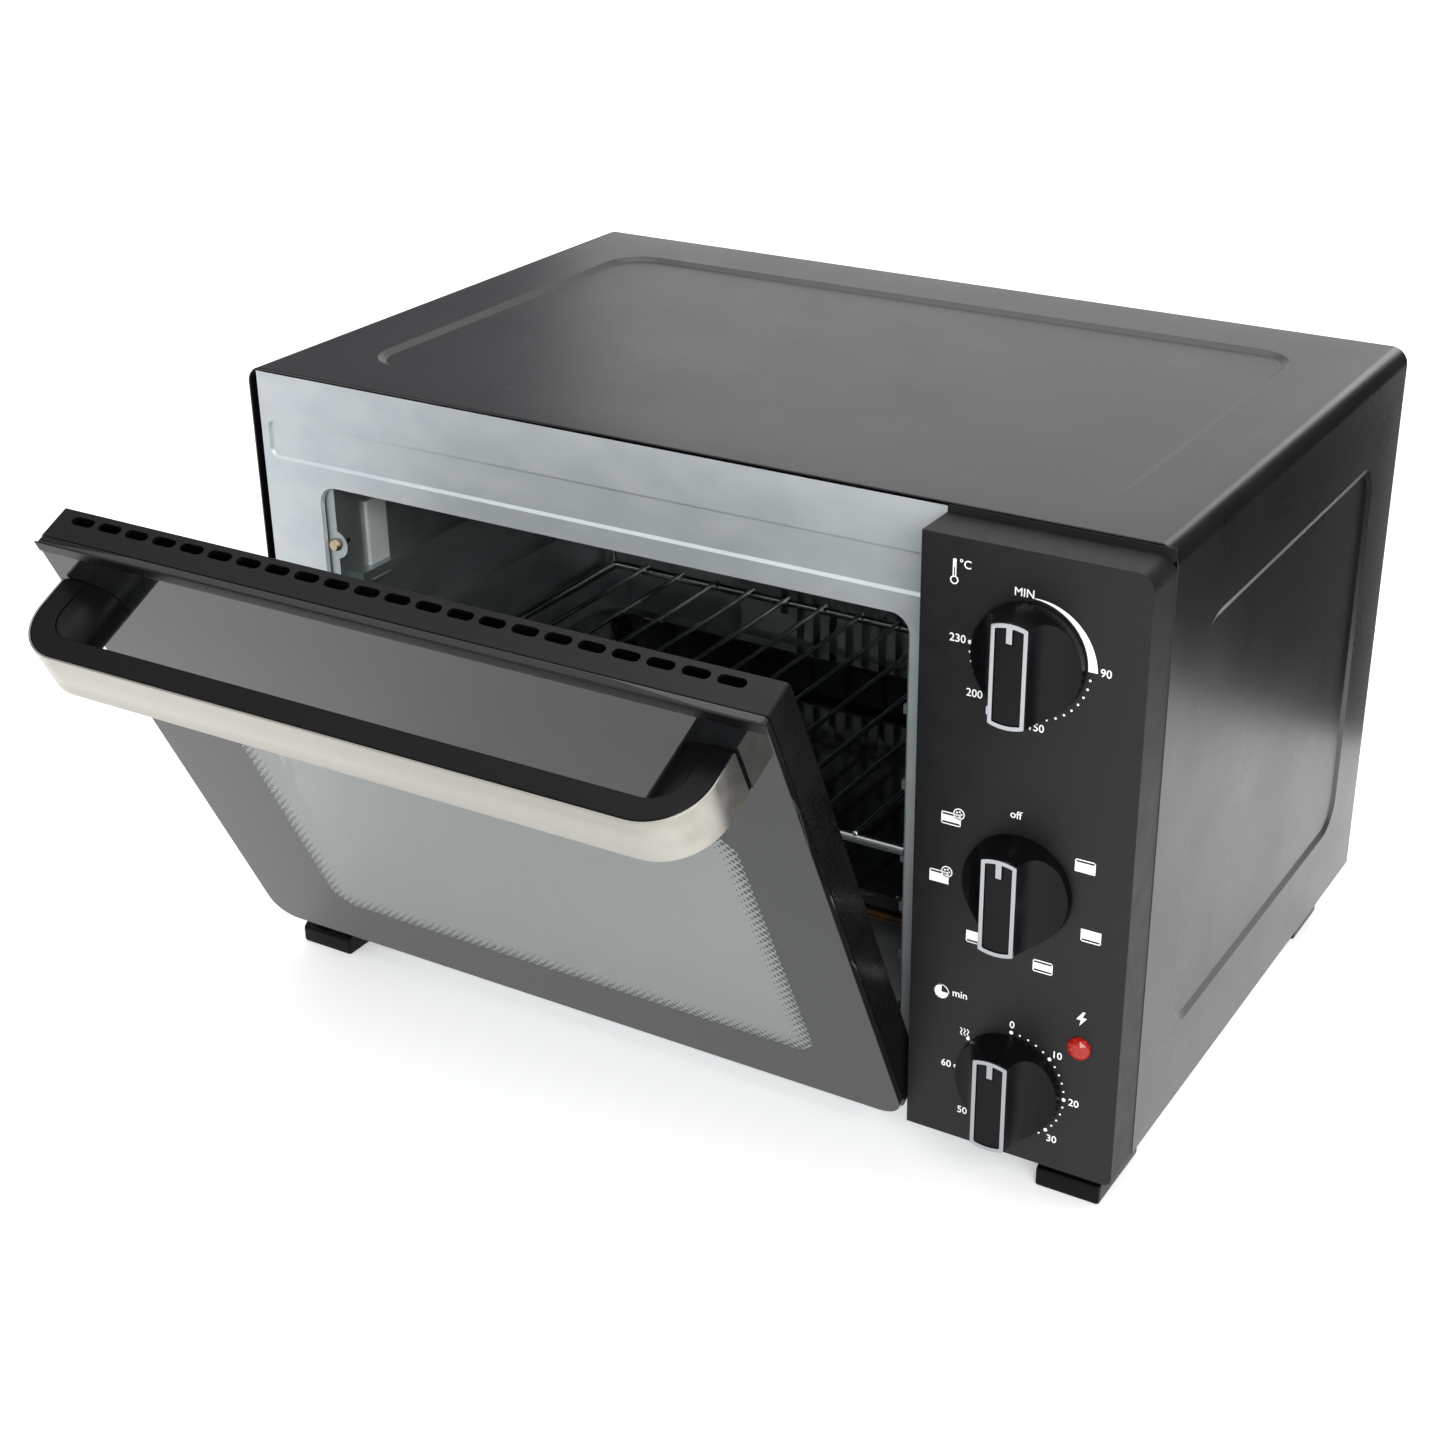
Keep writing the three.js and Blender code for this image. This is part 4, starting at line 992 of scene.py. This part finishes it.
def panel_print():
    bm = bmesh.new()
    add_arc(bm, THERMOSTAT_Z, (27.3, 26.6), (27.6, 30.9), 2, 90)
    for k in range(8):
        add_dot(bm, *dial_point(THERMOSTAT_Z, THERMOSTAT_DOTS, 98 + DOT_STEP * k), SMALL_DOT)
    for k in range(6):
        place = dial_point(THERMOSTAT_Z, THERMOSTAT_DOTS, 228 + DOT_STEP * k)
        add_dot(bm, *place, 1.0 if k == 5 else SMALL_DOT)
    for words, u, v in (
        ("MIN", 192.9, 279.5), ("90", 231.3, 251.2), ("150", 201.0, 219.3), ("180", 180.5, 222.0),
        ("200", 171.7, 228.5), ("230", 162.9, 252.5), ("°C", 165.4, 286.6), ("off", 193.8, 175.3),
        ("0", 196.9, 67.8), ("10", 219.6, 58.7), ("20", 229.1, 35.8), ("30", 219.3, 12.6),
        ("40", 196.9, 4.2), ("50", 173.5, 12.6), ("60", 164.4, 36.1), ("min", 170.2, 75.6),
    ):
        add_text(bm, words, u, v)
    for k in range(31):
        place = dial_point(TIMER_Z, TIMER_DOTS, DOT_STEP * k)
        add_dot(bm, *place, 0.95 if k % 5 == 0 else 0.5)
    add_dot(bm, *dial_point(TIMER_Z, TIMER_DOTS, 308.5), 0.95)
    for u, v, top, bottom, fan in (
        (227.5, 158.9, True, False, False), (232.2, 125.0, False, True, False),
        (210.3, 102.8, True, True, False), (177.0, 108.0, False, True, False),
        (157.7, 134.7, True, False, True), (162.7, 165.2, True, True, True),
    ):
        add_oven_sign(bm, u, v, top, bottom, fan)
    add_polygon(bm, [(230.9, 85.7), (227.9, 81.3), (230.1, 81.3), (229.5, 78.2),
                     (232.9, 82.7), (230.7, 82.7), (232.1, 85.7)])
    add_ring(bm, *THERMOMETER, 1.4, 1.95)
    add_polygon(bm, [(159.6, 280.6), (160.1, 280.6), (160.1, 288.6), (159.6, 288.2)])
    add_polygon(bm, [(160.7, 280.6), (161.2, 280.6), (161.2, 288.2), (160.7, 288.6)])
    add_polygon(bm, [(160.1, 284.8), (160.7, 284.8), (160.7, 288.6), (160.1, 288.6)])
    quarter_steps = 18
    pie = [CLOCK] + [
        (CLOCK[0] + CLOCK_RADIUS * math.cos(a), CLOCK[1] + CLOCK_RADIUS * math.sin(a))
        for a in (math.pi / 2 + 1.5 * math.pi * i / quarter_steps for i in range(quarter_steps + 1))
    ]
    add_polygon(bm, pie)
    add_ring(bm, *CLOCK, 3.5, CLOCK_RADIUS)
    for k in range(3):
        for i in range(6):
            a, b = (-2.0 + 0.66 * j for j in (i, i + 1))
            bend = [0.45 * math.sin(2.4 * t) for t in (a, b)]
            u = STEAM[0] + 1.7 * k
            add_polygon(bm, [
                (u + bend[0], STEAM[1] + a), (u + 0.5 + bend[0], STEAM[1] + a),
                (u + 0.5 + bend[1], STEAM[1] + b), (u + bend[1], STEAM[1] + b),
            ])
    return bm


ink = add_piece("dial_print", panel_print(), CASING, print_white, "oven_body",
                smooth=False)
print("print faces:", len(ink.data.polygons))

# %% [markdown]
# The indicator lamp has a cut lens. Half an icosphere, flattened, has just such flat facets.

# %% Indicator lens
LENS = {"x": 230.1, "z": 66.2, "radius": 6.0, "rise": 4.0}
bm = bmesh.new()
bmesh.ops.create_icosphere(bm, subdivisions=2, radius=LENS["radius"])
bmesh.ops.bisect_plane(
    bm, geom=bm.verts[:] + bm.edges[:] + bm.faces[:], plane_co=(0, 0.3, 0), plane_no=(0, 1, 0),
    clear_outer=True,
)
bmesh.ops.holes_fill(bm, edges=[e for e in bm.edges if e.is_boundary])
bmesh.ops.scale(bm, vec=(1, LENS["rise"] / LENS["radius"], 1), verts=bm.verts)
bmesh.ops.translate(bm, vec=(LENS["x"], PANEL_FACE, LENS["z"]), verts=bm.verts)
add_piece("lens_cut", bm, CASING, lens_red, "oven_body", ("lamp_lens",), smooth=False)
print("lens ready")

# %% [markdown]
# The back is seen too. Each louvre gets a low hood over its slot, and the cover is held by pan
# head screws with a cross recess, near the edge of the back panel.

# %% Louvre hoods and cover screws
BACK_FACE = 316.6
SLOT = {"rows": 9, "pitch": 9.0, "height": 3.5}
LOUVRES = ((150, 225, 185), (-85, 10, 92))
SCREW_PLACES = [(x, z) for x in (-240, 240) for z in (20, 150, 285)] + [(0, 291), (0, 12)]
SCREW_HEAD = 3.6


def louvre_hoods():
    bm = bmesh.new()
    for x0, x1, z0 in LOUVRES:
        for row in range(SLOT["rows"]):
            z = z0 + row * SLOT["pitch"] + SLOT["height"]
            add_block(bm, (x0 - 1, BACK_FACE + 0.1, z - 0.4), (x1 + 1, BACK_FACE + 2.6, z + 1.0), 0.4)
    return bm


def cover_screws():
    bm = bmesh.new()
    for x, z in SCREW_PLACES:
        head = bmesh.ops.create_uvsphere(bm, u_segments=16, v_segments=8, radius=SCREW_HEAD)["verts"]
        bmesh.ops.scale(bm, vec=(1, 0.55, 1), verts=head)
        bmesh.ops.translate(bm, vec=(x, BACK_FACE + 0.3, z), verts=head)
        for size in ((2.0, 0.4), (0.4, 2.0)):
            add_block(bm, (x - size[0], BACK_FACE + 1.9, z - size[1]),
                      (x + size[0], BACK_FACE + 2.5, z + size[1]))
    return bm


add_piece("back_louvres", louvre_hoods(), CASING, liner_steel, "oven_body")
add_piece("cover_screws", cover_screws(), CASING, zinc, "oven_body")
print("back detail ready")


# %% [markdown]
# The floor is a wide pale sheet with a little glow of its own, as a light table has, so that its
# far end stays white. Dark paint shows what stands round it more than its own colour. A large
# lamp behind draws the gloss on the top and one beside the camera reaches into the oven. Three
# flags show only in reflections: a black one behind on the right darkens the upper part of the
# side, and grey ones on the left shade that end of the top and of the front plate.

# %% Floor and lights
floor_material, shader = new_finish("pale_studio_floor", "#fafafa", 0.5, Emission_Strength=0.3)
shader.inputs["Emission Color"].default_value = linear("#ffffff")
set_grain(floor_material, shader, 40.0, 0.01, (0.45, 0.55))


def add_sheet(name, size, place, material):
    bm = bmesh.new()
    bmesh.ops.create_grid(bm, x_segments=2, y_segments=2, size=size)
    bmesh.ops.transform(bm, matrix=place, verts=bm.verts)
    mesh = bpy.data.meshes.new(name)
    bm.to_mesh(mesh)
    bm.free()
    mesh.materials.append(material)
    sheet = bpy.data.objects.new(name, mesh)
    bpy.context.scene.collection.objects.link(sheet)
    return sheet


add_sheet("studio_floor", 9.0, Matrix.Identity(4), floor_material)


def add_flag(name, grey, half_width, place, turn):
    """A board that shows only in glossy reflections, as a flag beside a product does."""
    cloth, shader = new_finish(name + "_cloth", "#000000", 1.0, Emission_Strength=1.0)
    shader.inputs["Emission Color"].default_value = linear(grey)
    upright = Matrix.Rotation(math.radians(90), 4, "X")
    facing = Matrix.Rotation(math.radians(turn), 4, "Z")
    flag = add_sheet(name, half_width, Matrix.Translation(place) @ facing @ upright, cloth)
    for ray in ("camera", "diffuse", "shadow", "transmission"):
        setattr(flag, "visible_" + ray, False)


add_flag("black_flag", "#050505", 0.6, (0.88, 0.46, 0.5), 0)
add_flag("grey_flag", "#808186", 1.0, (-1.5, 0.55, 0.8), 70)
add_flag("low_flag", "#26282b", 0.3, (-0.65, -0.62, 0.0), 0)


def add_lamp(name, place, target, size, power):
    data = bpy.data.lights.new(name, "AREA")
    data.size = size
    data.energy = power
    lamp = bpy.data.objects.new(name, data)
    bpy.context.scene.collection.objects.link(lamp)
    lamp.location = place
    lamp.rotation_mode = "QUATERNION"
    lamp.rotation_quaternion = (Vector(target) - Vector(place)).to_track_quat("-Z", "Y")
    lamp.visible_camera = False


add_lamp("lamp_above", (-0.2, 0.5, 2.1), (0, 0, 0.1), 1.8, 14)
add_lamp("lamp_behind", (0.6, 2.6, 1.3), (0, 0, 0.2), 1.6, 12)
add_lamp("lamp_camera_side", (1.1, -1.3, 1.1), (-0.1, 0, 0.2), 0.8, 18)

world = bpy.data.worlds.new("studio_world")
world.use_nodes = True
world.node_tree.nodes["Background"].inputs["Color"].default_value = (1, 1, 1, 1)
world.node_tree.nodes["Background"].inputs["Strength"].default_value = 1.0
bpy.context.scene.world = world
bpy.context.scene.view_settings.view_transform = "Standard"
print("studio ready")
